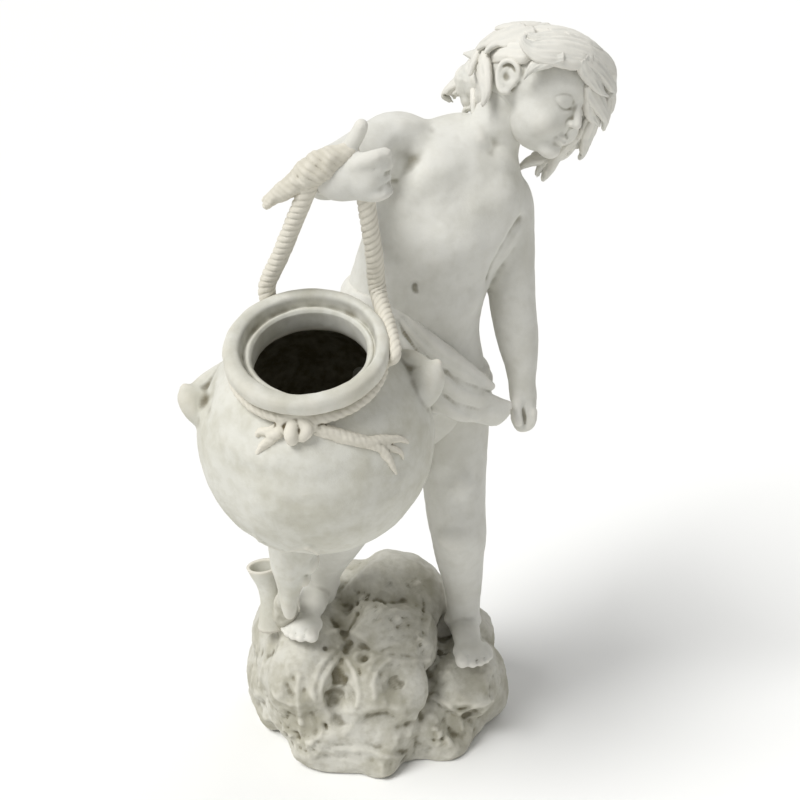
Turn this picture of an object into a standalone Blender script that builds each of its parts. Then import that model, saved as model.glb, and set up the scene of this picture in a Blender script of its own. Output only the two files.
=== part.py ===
"""Child garden statue: a child standing on a rock and lifting a round pot by a rope.

One casting, so one closed solid. Metres, +Z up, the statue faces -Y, and the origin lies on
the ground in the middle of the flat underside.

The figure is drawn at 765 parts high, with its left sole on the ledge at part 95. The same
parts place the rock's humps, so the feet keep their footing when a size changes.
"""
import math

import bmesh
import bpy
import numpy as np
from mathutils import Matrix, Vector, noise

# Driving dimensions
LEDGE_HEIGHT = 0.095         # ground to the child's left sole
FIGURE_HEIGHT = 0.670        # left sole to the top of the hair
ROCK_WIDTH = 0.292           # across the rock at the ground
ROCK_DEPTH = 0.244           # front to back at the ground
POT_RADIUS = 0.108           # outside of the pot's round body
POT_WALL = 0.009
POT_MOUTH_RADIUS = 0.0495
POT_NECK_RADIUS = 0.061      # outside of the neck, below the lip
POT_LIP_RADIUS = 0.0715
POT_LIP_HEIGHT = 0.019
POT_NECK_HEIGHT = 0.012      # from the round body up to the lip
POT_FOOT_RADIUS = 0.036
POT_FOOT_DROP = 0.003        # the flat foot lies this far below the round body
LEDGE_INSIDE_LIP = 0.008     # the narrow ledge round the bore, inside the lip
LIP_STEP = 0.010             # from the lip's top down to that ledge
POT_TILT = math.radians(22)  # the mouth leans this far to the front
POT_LEAN = math.radians(2)   # and this far to the child's right
ROPE_THICKNESS = 0.0155

# The drawing that the figure and the rock share
SOLE_PART = 95
CROWN_PART = 765
ROCK_WIDTH_PARTS = 292
ROCK_DEPTH_PARTS = 244
PART = FIGURE_HEIGHT / (CROWN_PART - SOLE_PART)

# Fineness of the solid
FIGURE_VOXEL = 0.0032
ROCK_VOXEL = 0.0040
FIGURE_TRIANGLES = 4900
ROCK_TRIANGLES = 1600
POT_STEPS = 36

STONE = (0.77, 0.75, 0.70, 1.0)


def spot(x, y, z):
    """A point of the figure, given in parts, in metres."""
    return Vector((x * PART, y * PART, (z - SOLE_PART) * PART + LEDGE_HEIGHT))


def rock_spot(x, y, z):
    """A point of the rock: its plan follows the rock's own width and depth."""
    height = z * LEDGE_HEIGHT / SOLE_PART if z < SOLE_PART else spot(0, 0, z).z
    return Vector((x * ROCK_WIDTH / ROCK_WIDTH_PARTS, y * ROCK_DEPTH / ROCK_DEPTH_PARTS, height))


# Form builders: each returns a closed mesh

def mesh_from(bm, name):
    mesh = bpy.data.meshes.new(name)
    bm.to_mesh(mesh)
    bm.free()
    return mesh


def ball(centre, radii, turn=(0, 0, 0)):
    """An ellipsoid at a point, radii in parts, turned by angles in degrees."""
    bm = bmesh.new()
    bmesh.ops.create_uvsphere(bm, u_segments=24, v_segments=14, radius=1)
    size = Matrix.Diagonal([radius * PART for radius in radii] + [1])
    turned = Matrix.Identity(4)
    for axis, angle in zip("XYZ", turn):
        turned = Matrix.Rotation(math.radians(angle), 4, axis) @ turned
    bm.transform(Matrix.Translation(centre) @ turned @ size)
    return mesh_from(bm, "ball")


def smooth_path(points, steps=4):
    """Catmull-Rom points through a list of equal-length tuples."""
    knots = [np.array(point, float) for point in points]
    knots = [2 * knots[0] - knots[1]] + knots + [2 * knots[-1] - knots[-2]]
    path = []
    for before, start, end, after in zip(knots, knots[1:], knots[2:], knots[3:]):
        for step in range(steps):
            t = step / steps
            path.append(0.5 * (2 * start + (end - before) * t
                               + (2 * before - 5 * start + 4 * end - after) * t * t
                               + (3 * start - before - 3 * end + after) * t ** 3))
    path.append(knots[-2])
    return path


def limb(points, sides=3, place=spot, steps=4):
    """A round limb through (x, y, z, radius) points in parts, with filled ends."""
    path = smooth_path(points, steps)
    curve = bpy.data.curves.new("limb", "CURVE")
    curve.dimensions = "3D"
    curve.bevel_depth = 1.0
    curve.bevel_resolution = sides
    curve.use_fill_caps = True
    spline = curve.splines.new("POLY")
    spline.points.add(len(path) - 1)
    for point, (x, y, z, radius) in zip(spline.points, path):
        point.co = (*place(x, y, z), 1)
        point.radius = radius * PART
    return mesh_of_curve(curve)


def rope(points, thickness=ROPE_THICKNESS, place=spot):
    """A rope of one thickness through (x, y, z) points in parts."""
    radius = thickness / 2 / PART
    return limb([(x, y, z, radius) for x, y, z in points], place=place)


def mesh_of_curve(curve):
    """The curve's tube as a mesh with its end caps welded on."""
    curve_object = bpy.data.objects.new("tube", curve)
    bpy.context.scene.collection.objects.link(curve_object)
    evaluated = curve_object.evaluated_get(bpy.context.evaluated_depsgraph_get())
    mesh = bpy.data.meshes.new_from_object(evaluated)
    bpy.data.objects.remove(curve_object)
    bm = bmesh.new()
    bm.from_mesh(mesh)
    bmesh.ops.remove_doubles(bm, verts=bm.verts, dist=1e-6)
    bmesh.ops.recalc_face_normals(bm, faces=bm.faces)
    bm.to_mesh(mesh)
    bm.free()
    return mesh


def loft(stations, sides=28, place=spot):
    """A body through oval sections: (x, y, z, half width, half depth, lean in degrees).

    Each section is an oval across the body that leans to +X by its angle.
    """
    bm = bmesh.new()
    rings = []
    for x, y, z, half_width, half_depth, lean in smooth_path(stations):
        centre = place(x, y, z)
        lean = math.radians(lean)
        across = Vector((math.cos(lean), 0, -math.sin(lean)))
        ring = []
        for side in range(sides):
            angle = 2 * math.pi * side / sides
            offset = across * math.cos(angle) * half_width + Vector((0, 1, 0)) * math.sin(angle) * half_depth
            ring.append(bm.verts.new(centre + offset * PART))
        rings.append(ring)
    for lower, upper in zip(rings, rings[1:]):
        for side in range(sides):
            after = (side + 1) % sides
            bm.faces.new((lower[side], lower[after], upper[after], upper[side]))
    bm.faces.new(list(reversed(rings[0])))
    bm.faces.new(rings[-1])
    bmesh.ops.recalc_face_normals(bm, faces=bm.faces)
    return mesh_from(bm, "loft")


def turned(profile, steps, name):
    """A closed body turned round Z from a profile of (radius, height), top to bottom on its outer side."""
    bm = bmesh.new()
    verts = [bm.verts.new((radius, 0, height)) for radius, height in profile]
    for first, second in zip(verts, verts[1:]):
        bm.edges.new((first, second))
    body = bpy.data.objects.new(name, mesh_from(bm, name))
    bpy.context.scene.collection.objects.link(body)
    screw = body.modifiers.new("Turn", "SCREW")
    screw.steps = steps
    screw.render_steps = steps
    screw.use_merge_vertices = True
    screw.merge_threshold = 0.00001
    screw.use_normal_calculate = True
    return applied(body)


def applied(body):
    """The object with its modifiers made real."""
    evaluated = body.evaluated_get(bpy.context.evaluated_depsgraph_get())
    mesh = bpy.data.meshes.new_from_object(evaluated)
    body.modifiers.clear()
    body.data = mesh
    return body


def fused(name, meshes, voxel, smoothing):
    """One skin round all the meshes, with the joins softened."""
    bm = bmesh.new()
    for mesh in meshes:
        bm.from_mesh(mesh)
        bpy.data.meshes.remove(mesh)
    body = bpy.data.objects.new(name, mesh_from(bm, name))
    bpy.context.scene.collection.objects.link(body)
    remesh = body.modifiers.new("Fuse", "REMESH")
    remesh.mode = "VOXEL"
    remesh.voxel_size = voxel
    smooth = body.modifiers.new("Soften", "SMOOTH")
    smooth.factor = 0.5
    smooth.iterations = smoothing
    return applied(body)


def press(body, centre, radii, turn=0.0):
    """Push the skin that lies inside an ellipsoid out to its surface, as a thumb presses clay."""
    mesh = body.data
    points = np.empty(len(mesh.vertices) * 3, np.float32)
    mesh.vertices.foreach_get("co", points)
    points = points.reshape(-1, 3).astype(float)
    basis = np.array(Matrix.Rotation(math.radians(turn), 3, "Y"))
    local = (points - np.array(centre)) @ basis / (np.array(radii) * PART)
    reach = np.linalg.norm(local, axis=1)
    inside = (reach < 1) & (reach > 1e-6)
    local[inside] /= reach[inside][:, None]
    points[inside] = (local[inside] * (np.array(radii) * PART)) @ basis.T + np.array(centre)
    mesh.vertices.foreach_set("co", points.astype(np.float32).ravel())
    mesh.update()


def thinned(body, triangles):
    """The skin with about this many triangles."""
    mesh = body.data
    mesh.calc_loop_triangles()
    decimate = body.modifiers.new("Thin", "DECIMATE")
    decimate.ratio = min(1.0, triangles / len(mesh.loop_triangles))
    decimate.use_collapse_triangulate = True
    return applied(body)


# The child

def torso():
    return [
        loft([
            (38, 8, 350, 44, 38, 0),
            (38, 7, 372, 66, 50, 0),
            (37, 6, 404, 74, 55, 3),
            (36, 3, 444, 73, 56, 6),
            (39, 0, 484, 70, 58, 13),
            (47, -3, 523, 69, 58, 20),
            (60, -2, 561, 70, 53, 26),
            (75, 0, 597, 72, 49, 30),
            (88, 3, 629, 66, 44, 31),
            (98, 5, 650, 48, 36, 31),
            (106, 4, 666, 29, 27, 30),
        ]),
        # buttocks, chest and shoulder blades
        ball(spot(10, 38, 398), (36, 30, 38)),
        ball(spot(66, 38, 396), (36, 30, 38)),
        ball(spot(38, -20, 598), (28, 26, 20), (0, 30, 0)),
        ball(spot(93, -22, 582), (28, 24, 20), (0, 30, 0)),
        ball(spot(40, 26, 618), (26, 20, 30), (0, 30, 0)),
        ball(spot(104, 28, 590), (26, 20, 30), (0, 30, 0)),
        limb([(104, 4, 645, 33), (112, 3, 664, 28), (122, 0, 684, 26.5), (132, -3, 700, 26)]),
    ]


def left_arm():
    """The arm that hangs straight, with its closed fist."""
    forms = [
        limb([(104, 8, 610, 30), (124, 12, 596, 28), (130, 14, 566, 25.5), (133, 13, 528, 24.5),
              (136, 9, 492, 23.5), (142, 4, 456, 21.5), (146, -2, 430, 17), (147, -5, 414, 14.5),
              (149, -8, 398, 14.5)]),
        ball(spot(151, -9, 388), (12.5, 19, 18)),
    ]
    for finger in range(4):
        forms.append(limb([(156 - finger, -24 + finger * 8, 388 - finger, 6),
                           (151, -26 + finger * 9, 374, 6.2), (143, -22 + finger * 8, 376, 5.6)]))
    forms.append(limb([(146, -18, 400, 6.5), (143, -27, 388, 6.2), (147, -31, 376, 5.4)]))
    return forms


def right_arm():
    """The raised arm: it comes forward, so that the fist hides the forearm."""
    forms = [
        limb([(52, 4, 636, 30), (24, -6, 653, 31), (2, -26, 651, 28), (-22, -48, 644, 25),
              (-38, -68, 642, 23.5), (-40, -92, 648, 22), (-39, -116, 655, 18.5), (-36, -132, 659, 17)]),
        ball(spot(-18, -141, 664), (24, 16, 21), (0, -6, 0)),
        ball(spot(-2, -143, 668), (15, 15, 20), (0, -6, 0)),
        limb([(-22, -140, 678, 8.5), (-13, -143, 689, 6.8), (-7, -146, 702, 6)]),
        limb([(-6, -148, 679, 8), (6, -149, 681, 7.5), (13, -147, 681, 6.5), (14, -138, 678, 6)]),
    ]
    for finger in range(3):
        height = 671 - finger * 10.5
        forms.append(limb([(-2, -152, height, 7), (12 + finger, -150, height + 1, 6.6),
                           (17 + finger, -141, height, 6), (10, -133, height - 2, 5.6)]))
    return forms


def legs():
    return [
        limb([(74, 8, 398, 44), (79, 4, 358, 38), (81, -3, 304, 34), (84, -8, 262, 31.5),
              (86, -9, 240, 31.5), (87, 2, 205, 31), (90, 8, 168, 26), (94, 9, 140, 20),
              (95, 9, 118, 18.5), (95, 10, 106, 16)]),
        # the knees
        ball(spot(84, -30, 250), (20, 12, 20)),
        limb([(10, 8, 396, 44), (2, -8, 356, 39), (-10, -30, 318, 34), (-23, -44, 288, 31.5),
              (-32, -42, 270, 30), (-44, -24, 240, 29), (-54, -10, 208, 24), (-59, -6, 182, 19),
              (-60, -4, 162, 17)]),
    ]


def foot(heel, ball_of_foot, inner):
    """A bare foot from its heel to its toes; inner is +1 where the big toe is on the +X side."""
    heel = Vector(heel)
    front = Vector(ball_of_foot)
    along = (front - heel).normalized()
    # the foot points to -Y, so this turn of its direction points to +X
    side = Vector((-along.y, along.x, 0)).normalized() * inner
    middle = heel.lerp(front, 0.5)
    forms = [
        ball(spot(*(heel + Vector((0, 0, 14)))), (16, 18, 17)),
        ball(spot(*(middle + Vector((0, 0, 16)))), (17, 34, 15)),
        ball(spot(*(front + Vector((0, 0, 9)))), (21, 20, 10.5)),
    ]
    toes = [(13, 20, 8.4), (0.5, 22, 6), (-8, 19, 5.6), (-15.5, 14, 5.2), (-21.5, 7, 5)]
    for across, ahead, radius in toes:
        root = front + side * across * 0.85 + along * (ahead - 18)
        tip = front + side * across + along * ahead
        forms.append(limb([(*root, radius + 1), (*tip, radius * 0.9)], place=toe_spot))
        forms.append(ball(toe_spot(*tip), (radius * 1.15,) * 3))
    return forms


def toe_spot(x, y, z):
    """Toes lie on the rock: their centres are a toe's radius above the sole."""
    return spot(x, y, z + 6)


# The head

HEAD = spot(152, -2, 704)
HEAD_TILT = math.radians(32)   # the crown leans to +X
HEAD_TURN = math.radians(46)   # the face looks this far towards +X from straight ahead
HEAD_RISE = math.radians(12)   # and is raised this far
SCALP = Vector((0, 12, 6))     # centre of the hair's round cap in the head's own parts
SCALP_RADII = Vector((49, 52, 44))

# locks that show at the edge of the head: (x, y, z) points in parts, thickness in parts
EDGE_LOCKS = [
    ([(136, 0, 753), (120, 8, 752), (111, 15, 747), (106, 20, 743)], 8),
    ([(131, -30, 744), (118, -18, 742), (105, 2, 738), (94, 18, 733), (85, 27, 729)], 8),
    ([(112, 14, 724), (98, 26, 720), (84, 36, 712), (74, 42, 700), (70, 43, 690), (76, 40, 684)], 9),
    ([(112, 22, 700), (100, 28, 704), (88, 32, 702), (78, 36, 694)], 11),
    ([(108, 20, 698), (97, 24, 688), (90, 27, 680), (86, 29, 672)], 8),
    ([(142, 10, 753), (160, 0, 754), (176, -5, 751), (188, -8, 746)], 9),
    ([(174, -47, 744), (158, -50, 745), (146, -50, 745), (137, -47, 748), (133, -44, 753)], 8),
    ([(156, -50, 740), (147, -52, 736), (139, -51, 729), (134, -49, 722)], 6),
    ([(184, -40, 740), (200, -34, 727), (211, -26, 714), (213, -22, 703)], 9),
    ([(188, -20, 744), (204, -12, 734), (216, -5, 721), (218, 0, 707), (216, 2, 690)], 9),
    ([(206, 2, 704), (214, 3, 692), (214, 3, 681), (211, 2, 672)], 11),
    ([(200, -20, 700), (206, -16, 688), (211, -8, 674), (210, -4, 668)], 8),
    ([(206, 0, 676), (203, 2, 660), (197, 5, 646), (192, 6, 639)], 9),
    ([(196, 14, 664), (186, 13, 648), (174, 12, 634), (164, 12, 622), (160, 12, 617)], 10),
    ([(170, 22, 642), (156, 18, 632), (142, 16, 626), (137, 16, 625)], 9),
    ([(200, 12, 690), (194, 18, 662), (180, 20, 644)], 20),
]


def head_matrix():
    """The head's own frame: +X its left, -Y its face, +Z its crown."""
    tilt = Matrix.Rotation(HEAD_TILT, 4, "Y")
    turn = Matrix.Rotation(HEAD_TURN, 4, "Z") @ Matrix.Rotation(-HEAD_RISE, 4, "X")
    return Matrix.Translation(HEAD) @ tilt @ turn


def head_spot(x, y, z):
    return head_matrix() @ (Vector((x, y, z)) * PART)


def on_head(meshes):
    """Forms drawn round the head's own origin, moved on to the neck."""
    for mesh in meshes:
        mesh.transform(head_matrix())
    return meshes


def head_ball(x, y, z, radii, turn=(0, 0, 0)):
    return ball(Vector((x, y, z)) * PART, radii, turn)


def face():
    """A calm child's face of plain proportions: eyes half way down the head."""
    forms = [
        head_ball(0, 6, 6, (47, 55, 44)),
        head_ball(0, -22, -20, (37, 34, 38)),
        head_ball(0, -38, -45, (15, 14, 12)),
        head_ball(0, -56, -17, (7, 7, 6)),
        head_ball(0, -51, -32, (11, 7, 5)),
    ]
    for side in (-1, 1):
        forms.append(head_ball(21 * side, -34, -22, (17, 18, 18)))
        forms.append(head_ball(47 * side, 2, -8, (7, 9, 14), (0, 0, 25 * side)))
    forms = on_head(forms)
    forms.append(limb([(0, -50, 5, 4.5), (0, -56, -7, 5.5), (0, -59, -16, 6.5)], place=head_spot))
    return forms


def hair():
    """Tousled locks in rows round the skull, off the brow and clear of the right ear, and edge locks."""
    rows = [
        # elevation, locks, length, lift, thickness
        (66, 8, 30, 2, 8),
        (42, 11, 34, 4, 8.5),
        (16, 11, 34, 7, 9),
        (-10, 10, 32, 8, 9),
        (-34, 8, 26, 6, 8.5),
    ]
    forms = on_head([ball(SCALP * PART, SCALP_RADII)])
    for row, (elevation, locks, length, lift, thickness) in enumerate(rows):
        for number in range(locks):
            azimuth = 360 * (number + 0.5 * (row % 2)) / locks
            # degrees round from the middle of the face: + to the head's left, - to its right
            from_face = (azimuth - 270 + 180) % 360 - 180
            sway = math.sin(number * 2.4 + row * 1.7)
            if elevation < 60 and abs(from_face) < bare_from(elevation, from_face):
                continue
            forms.append(lock(azimuth, elevation, length, lift * (1 + 0.35 * sway), thickness, 20 * sway))
    for points, thickness in EDGE_LOCKS:
        last = len(points) - 1
        forms.append(limb([(*point, thickness * (1 - 0.5 * (number / last) ** 2))
                           for number, point in enumerate(points)], sides=2, steps=3))
    return forms


def bare_from(elevation, from_face):
    """How far round from the middle of the face the skin is bare at a height on the head."""
    bare = 52 + 0.55 * (46 - elevation)
    if from_face < 0 and elevation < 30:
        # the right ear shows
        bare = max(bare, 112)
    return bare


def lock(azimuth, elevation, length, lift, thickness, bend):
    """A tapered lock that lies down the skull and lifts at its tip."""
    points = []
    for step in range(5):
        t = step / 4
        fall = math.radians(elevation - math.degrees(length * t / 52))
        swing = math.radians(azimuth + bend * t)
        reach = 1 + (lift / 52) * t ** 1.6
        outward = Vector((math.cos(fall) * math.cos(swing), math.cos(fall) * math.sin(swing),
                          math.sin(fall)))
        place = SCALP + outward * SCALP_RADII * reach
        points.append((*place, thickness * (1 - 0.55 * t ** 2)))
    return limb(points, sides=2, place=head_spot, steps=2)


# The cloth round the hips

def drape():
    """A cloth wrapped round the hips, high on the right of the waist and low on the left hip."""
    forms = [
        loft([
            (40, 4, 382, 76, 57, 12),
            (40, 3, 396, 79, 61, 14),
            (39, 2, 420, 79, 61, 20),
            (38, 0, 450, 76, 60, 30),
            (38, -1, 472, 75, 60, 40),
        ]),
    ]
    # folds roll down from the right side of the waist to the left hip
    for fold in range(5):
        drop = fold * 18
        start = 512 - drop
        forms.append(limb([(-16, -42, start + 4, 6), (14, -62, start - 8, 8),
                           (52, -70, start - 44 + drop * 0.14, 8.5),
                           (88, -60, start - 80 + drop * 0.42, 8),
                           (114, -36, 412 - drop * 0.42, 7)]))
    # the loose end stands off the left hip as an open curl
    forms.append(limb([(70, -62, 420, 12), (92, -56, 406, 14), (112, -46, 395, 15), (128, -36, 388, 14)]))
    # the same folds run on round the back
    for fold in range(4):
        drop = fold * 24
        forms.append(limb([(114, 8, 410 - drop * 0.4, 6), (86, 54, 430 - drop * 0.7, 8),
                           (38, 68, 468 - drop, 8.5), (-12, 50, 498 - drop, 8), (-28, 6, 510 - drop, 7)]))
    return forms


# The rope

def ropes():
    """The bail: from the neck up through the fist and down again, with its wrapped loose end."""
    left_neck = POT_FRAME @ polar_point(LEFT_KNOT, POT_NECK_RADIUS + ROPE_THICKNESS / 3, NECK_ROPE_HEIGHT)
    left_lip = POT_FRAME @ polar_point(LEFT_KNOT, POT_LIP_RADIUS + ROPE_THICKNESS / 2, LIP_TOP)
    right_neck = POT_FRAME @ polar_point(RIGHT_KNOT, POT_NECK_RADIUS + ROPE_THICKNESS / 3,
                                         NECK_ROPE_HEIGHT)
    right_lip = POT_FRAME @ polar_point(RIGHT_KNOT, POT_LIP_RADIUS + ROPE_THICKNESS / 3,
                                        LIP_TOP - POT_LIP_HEIGHT / 2)
    return [
        rope([(-44, -140, 666), (-52, -142, 648)] + straight_to(left_lip, (-52, -142, 648), 3)
             + [part_of(left_neck)]),
        rope([(-4, -140, 660), (-3, -140, 636)] + straight_to(RIGHT_TURN, (-3, -140, 636), 2)
             + [part_of(right_lip), part_of(right_neck)]),
        # round the wrist and out to the loose end
        limb([(-14, -144, 682, 7), (-26, -146, 675, 10), (-41, -146, 667, 12), (-53, -143, 658, 11.5),
              (-65, -139, 650, 9), (-76, -135, 641, 7), (-85, -132, 634, 5)]),
    ]


def straight_to(place, start, steps):
    """Points in parts that lead straight from a start in parts to a place in metres."""
    end = Vector(part_of(place))
    return [tuple(Vector(start).lerp(end, (step + 1) / steps)) for step in range(steps)]


def polar_point(azimuth, radius, height):
    """A point round the pot's axis; azimuth in degrees from the pot's own +X."""
    angle = math.radians(azimuth)
    return Vector((radius * math.cos(angle), radius * math.sin(angle), height))


def part_of(place):
    """A point in metres, given in parts."""
    return (place.x / PART, place.y / PART, (place.z - LEDGE_HEIGHT) / PART + SOLE_PART)


# The pot

SHOULDER_HEIGHT = math.sqrt(POT_RADIUS ** 2 - POT_NECK_RADIUS ** 2)
LIP_TOP = SHOULDER_HEIGHT + POT_NECK_HEIGHT + POT_LIP_HEIGHT
NECK_ROPE_HEIGHT = SHOULDER_HEIGHT + POT_NECK_HEIGHT * 0.45
LEFT_KNOT = 118              # degrees round the neck where the bail's two ends are tied
RIGHT_KNOT = -4
RIGHT_TURN = spot(8, -116, 545)   # where the right strand bends to follow the lip
LUG_HOLLOW = (10, 20, 17)    # half sizes in parts
MOUTH = spot(-55, -176, 526.6)
POT_FRAME = (Matrix.Translation(MOUTH) @ Matrix.Rotation(-POT_LEAN, 4, "Y")
             @ Matrix.Rotation(POT_TILT, 4, "X") @ Matrix.Translation((0, 0, -LIP_TOP)))
# now the frame's origin is the centre of the pot's round body


def arc(radius, first, last, steps):
    """Points of (radius, height) along a circle round the pot's centre, angles from straight up."""
    points = []
    for step in range(steps + 1):
        angle = math.radians(first + (last - first) * step / steps)
        points.append((radius * math.sin(angle), radius * math.cos(angle)))
    return points


def pot_body():
    """The outside of the pot as one turned solid: lip, neck, round body and a small flat foot."""
    lip_low = LIP_TOP - POT_LIP_HEIGHT
    round_off = POT_LIP_HEIGHT * 0.3
    shoulder_angle = math.degrees(math.asin(POT_NECK_RADIUS / POT_RADIUS))
    profile = [
        (0, LIP_TOP - LIP_STEP),
        (POT_MOUTH_RADIUS + LEDGE_INSIDE_LIP, LIP_TOP - LIP_STEP),
        (POT_MOUTH_RADIUS + LEDGE_INSIDE_LIP, LIP_TOP - round_off),
        (POT_LIP_RADIUS - round_off * 2, LIP_TOP),
        (POT_LIP_RADIUS - round_off * 0.7, LIP_TOP - round_off * 0.3),
        (POT_LIP_RADIUS, LIP_TOP - round_off),
        (POT_LIP_RADIUS, lip_low + round_off),
        (POT_LIP_RADIUS - round_off, lip_low),
        (POT_NECK_RADIUS, lip_low - round_off * 0.5),
    ]
    # the round body runs down to a low foot a little below it
    profile += arc(POT_RADIUS, shoulder_angle, 150, 13)
    profile.append((POT_FOOT_RADIUS, -POT_RADIUS - POT_FOOT_DROP))
    profile.append((0, -POT_RADIUS - POT_FOOT_DROP))
    body = turned(profile, POT_STEPS, "pot_body")
    body.data.transform(POT_FRAME)
    return body


def pot_hollow():
    """The inside of the pot: a round space with a bore up through the lip."""
    inner = POT_RADIUS - POT_WALL
    bore_angle = math.degrees(math.asin(POT_MOUTH_RADIUS / inner))
    floor_angle = 155
    profile = [
        (0, LIP_TOP + POT_LIP_HEIGHT),
        (POT_MOUTH_RADIUS, LIP_TOP + POT_LIP_HEIGHT),
    ]
    profile += arc(inner, bore_angle, floor_angle, 11)
    profile.append((0, inner * math.cos(math.radians(floor_angle))))
    body = turned(profile, POT_STEPS - 8, "pot_hollow")
    body.data.transform(POT_FRAME)
    return body


def pot_trim():
    """What is modelled on the pot: the neck rope with its knot and tails, and two lugs."""
    ring = []
    for azimuth in range(0, 361, 15):
        place = polar_point(azimuth, POT_NECK_RADIUS + ROPE_THICKNESS / 3, NECK_ROPE_HEIGHT)
        ring.append(part_of(POT_FRAME @ place))
    forms = [
        rope(ring, ROPE_THICKNESS * 0.85),
        ball(on_pot(-95, 38, 0.006), (11, 9, 8)),
        ball(on_pot(-97, 44, 0.004), (7, 7, 8)),
        ball(on_pot(-89, 41, 0.004), (7, 7, 8)),
    ]
    tails = [
        [(-98, 41, 6), (-108, 43, 6), (-117, 46, 6), (-124, 52, 4)],
        [(-86, 40, 6), (-70, 43, 6), (-54, 46, 6.5), (-43, 49, 5), (-36, 51, 3.5)],
        [(-52, 48, 5), (-46, 54, 4.5), (-43, 60, 3.5)],
    ]
    for tail in tails:
        forms.append(limb([(*part_of(on_pot(azimuth, polar)), radius) for azimuth, polar, radius in tail]))
    # the ear-shaped lugs: a leaf that stands off the round body and ends in a tip
    forms += [
        ball(spot(-156, -138, 446), (12, 15, 23), (0, -42, 0)),
        limb([(-152, -138, 450, 12), (-164, -136, 458, 8), (-171, -134, 463, 5.5)]),
        limb([(-160, -130, 458, 6), (-148, -120, 466, 7), (-136, -114, 474, 6)]),
        ball(spot(46, -138, 466), (12, 15, 23), (0, 36, 0)),
        limb([(44, -138, 470, 12), (53, -136, 480, 8), (57, -134, 486, 5.5)]),
        limb([(50, -130, 482, 6), (38, -120, 484, 7), (28, -114, 484, 6)]),
    ]
    return forms


def lug_hollows():
    """The scoop on the neck side of each ear-shaped lug."""
    return [spot(-141, -156, 470), spot(32, -156, 486)]


def on_pot(azimuth, polar, lift=0.0):
    """A point on the pot's round body, by its angle round the axis and its angle from the top."""
    azimuth = math.radians(azimuth)
    polar = math.radians(polar)
    radius = POT_RADIUS + lift
    return POT_FRAME @ Vector((radius * math.sin(polar) * math.cos(azimuth),
                               radius * math.sin(polar) * math.sin(azimuth),
                               radius * math.cos(polar)))


# The rock and what stands on it

def rock():
    humps = [
        # x, y, z and half sizes
        ((-2, 0, 30), (132, 106, 66)),
        ((-62, -12, 62), (70, 92, 82)),
        ((74, 10, 38), (72, 68, 58)),
        ((-78, -42, 96), (52, 62, 48)),
        ((-98, 10, 100), (42, 62, 48)),
        ((16, 44, 110), (66, 60, 68)),
        ((-30, 60, 96), (62, 46, 66)),
        ((98, -18, 62), (44, 66, 34)),
        ((100, 48, 62), (38, 42, 50)),
        ((-24, -64, 30), (76, 56, 46)),
        ((-4, -70, 84), (60, 38, 48)),
        ((14, -20, 112), (54, 52, 44)),
        ((-118, 8, 40), (28, 66, 56)),
        ((68, -58, 16), (38, 34, 34)),
        ((112, 6, 26), (36, 44, 34)),
        ((4, -84, 16), (34, 38, 24)),
    ]
    forms = []
    for number, (centre, radii) in enumerate(humps):
        forms.append(ball(rock_spot(*centre), radii, (7 * math.sin(number), 9 * math.cos(2.3 * number), 0)))
    return forms


def roughen(body):
    """Crags: each point of the rock's skin moves out or in by a few parts."""
    for vertex in body.data.vertices:
        place = vertex.co / PART
        crag = 1 - 2 * abs(noise.noise(place / 42))
        grain = noise.noise(place / 14)
        vertex.co += vertex.normal * PART * (5 * crag + 2.5 * grain - 2.5)


def rock_hollows():
    """Two scooped basins on the front and a small one above them."""
    return [
        ((-24, -128, 100), (18, 30, 28), 14),
        ((27, -132, 96), (32, 36, 30), -8),
        ((-6, -100, 138), (9, 20, 12), 20),
        ((44, -112, 18), (14, 32, 36), 0),
    ]


def hanging_end_and_tube():
    """The hanging end below the pot and the small flared tube beside it, both on the rock."""
    return [
        limb([(-74, -100, 306, 26), (-80, -100, 280, 29), (-85, -100, 258, 26), (-89, -99, 238, 16),
              (-91, -98, 222, 12), (-92, -96, 212, 11), (-92, -90, 202, 10)]),
        ball(spot(-72, -104, 238), (10, 10, 10)),
        limb([(-110, -52, 160, 15), (-110, -52, 184, 11), (-112, -52, 202, 11), (-115, -52, 216, 14),
              (-116, -52, 225, 17)]),
        # the web of stone that joins them to the rock
        limb([(-90, -88, 236, 14), (-93, -72, 200, 16), (-95, -60, 160, 18)]),
    ]


# Putting it together

def combined(body, other, operation):
    """A Boolean of two closed bodies, made real, with the other one removed."""
    boolean = body.modifiers.new(operation.title(), "BOOLEAN")
    boolean.operation = operation
    boolean.solver = "EXACT"
    boolean.object = other
    applied(body)
    bpy.data.objects.remove(other)
    return body


def ground_block():
    """Everything below the ground."""
    bm = bmesh.new()
    bmesh.ops.create_cube(bm, size=1)
    bm.transform(Matrix.Translation((0, 0, -0.1)) @ Matrix.Diagonal((1, 1, 0.2, 1)))
    block = bpy.data.objects.new("ground_block", mesh_from(bm, "ground_block"))
    bpy.context.scene.collection.objects.link(block)
    return block


def stone(name):
    material = bpy.data.materials.new(name)
    material.use_nodes = True
    shader = material.node_tree.nodes["Principled BSDF"]
    shader.inputs["Base Color"].default_value = STONE
    shader.inputs["Roughness"].default_value = 0.8
    shader.inputs["Metallic"].default_value = 0.0
    return material


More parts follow.
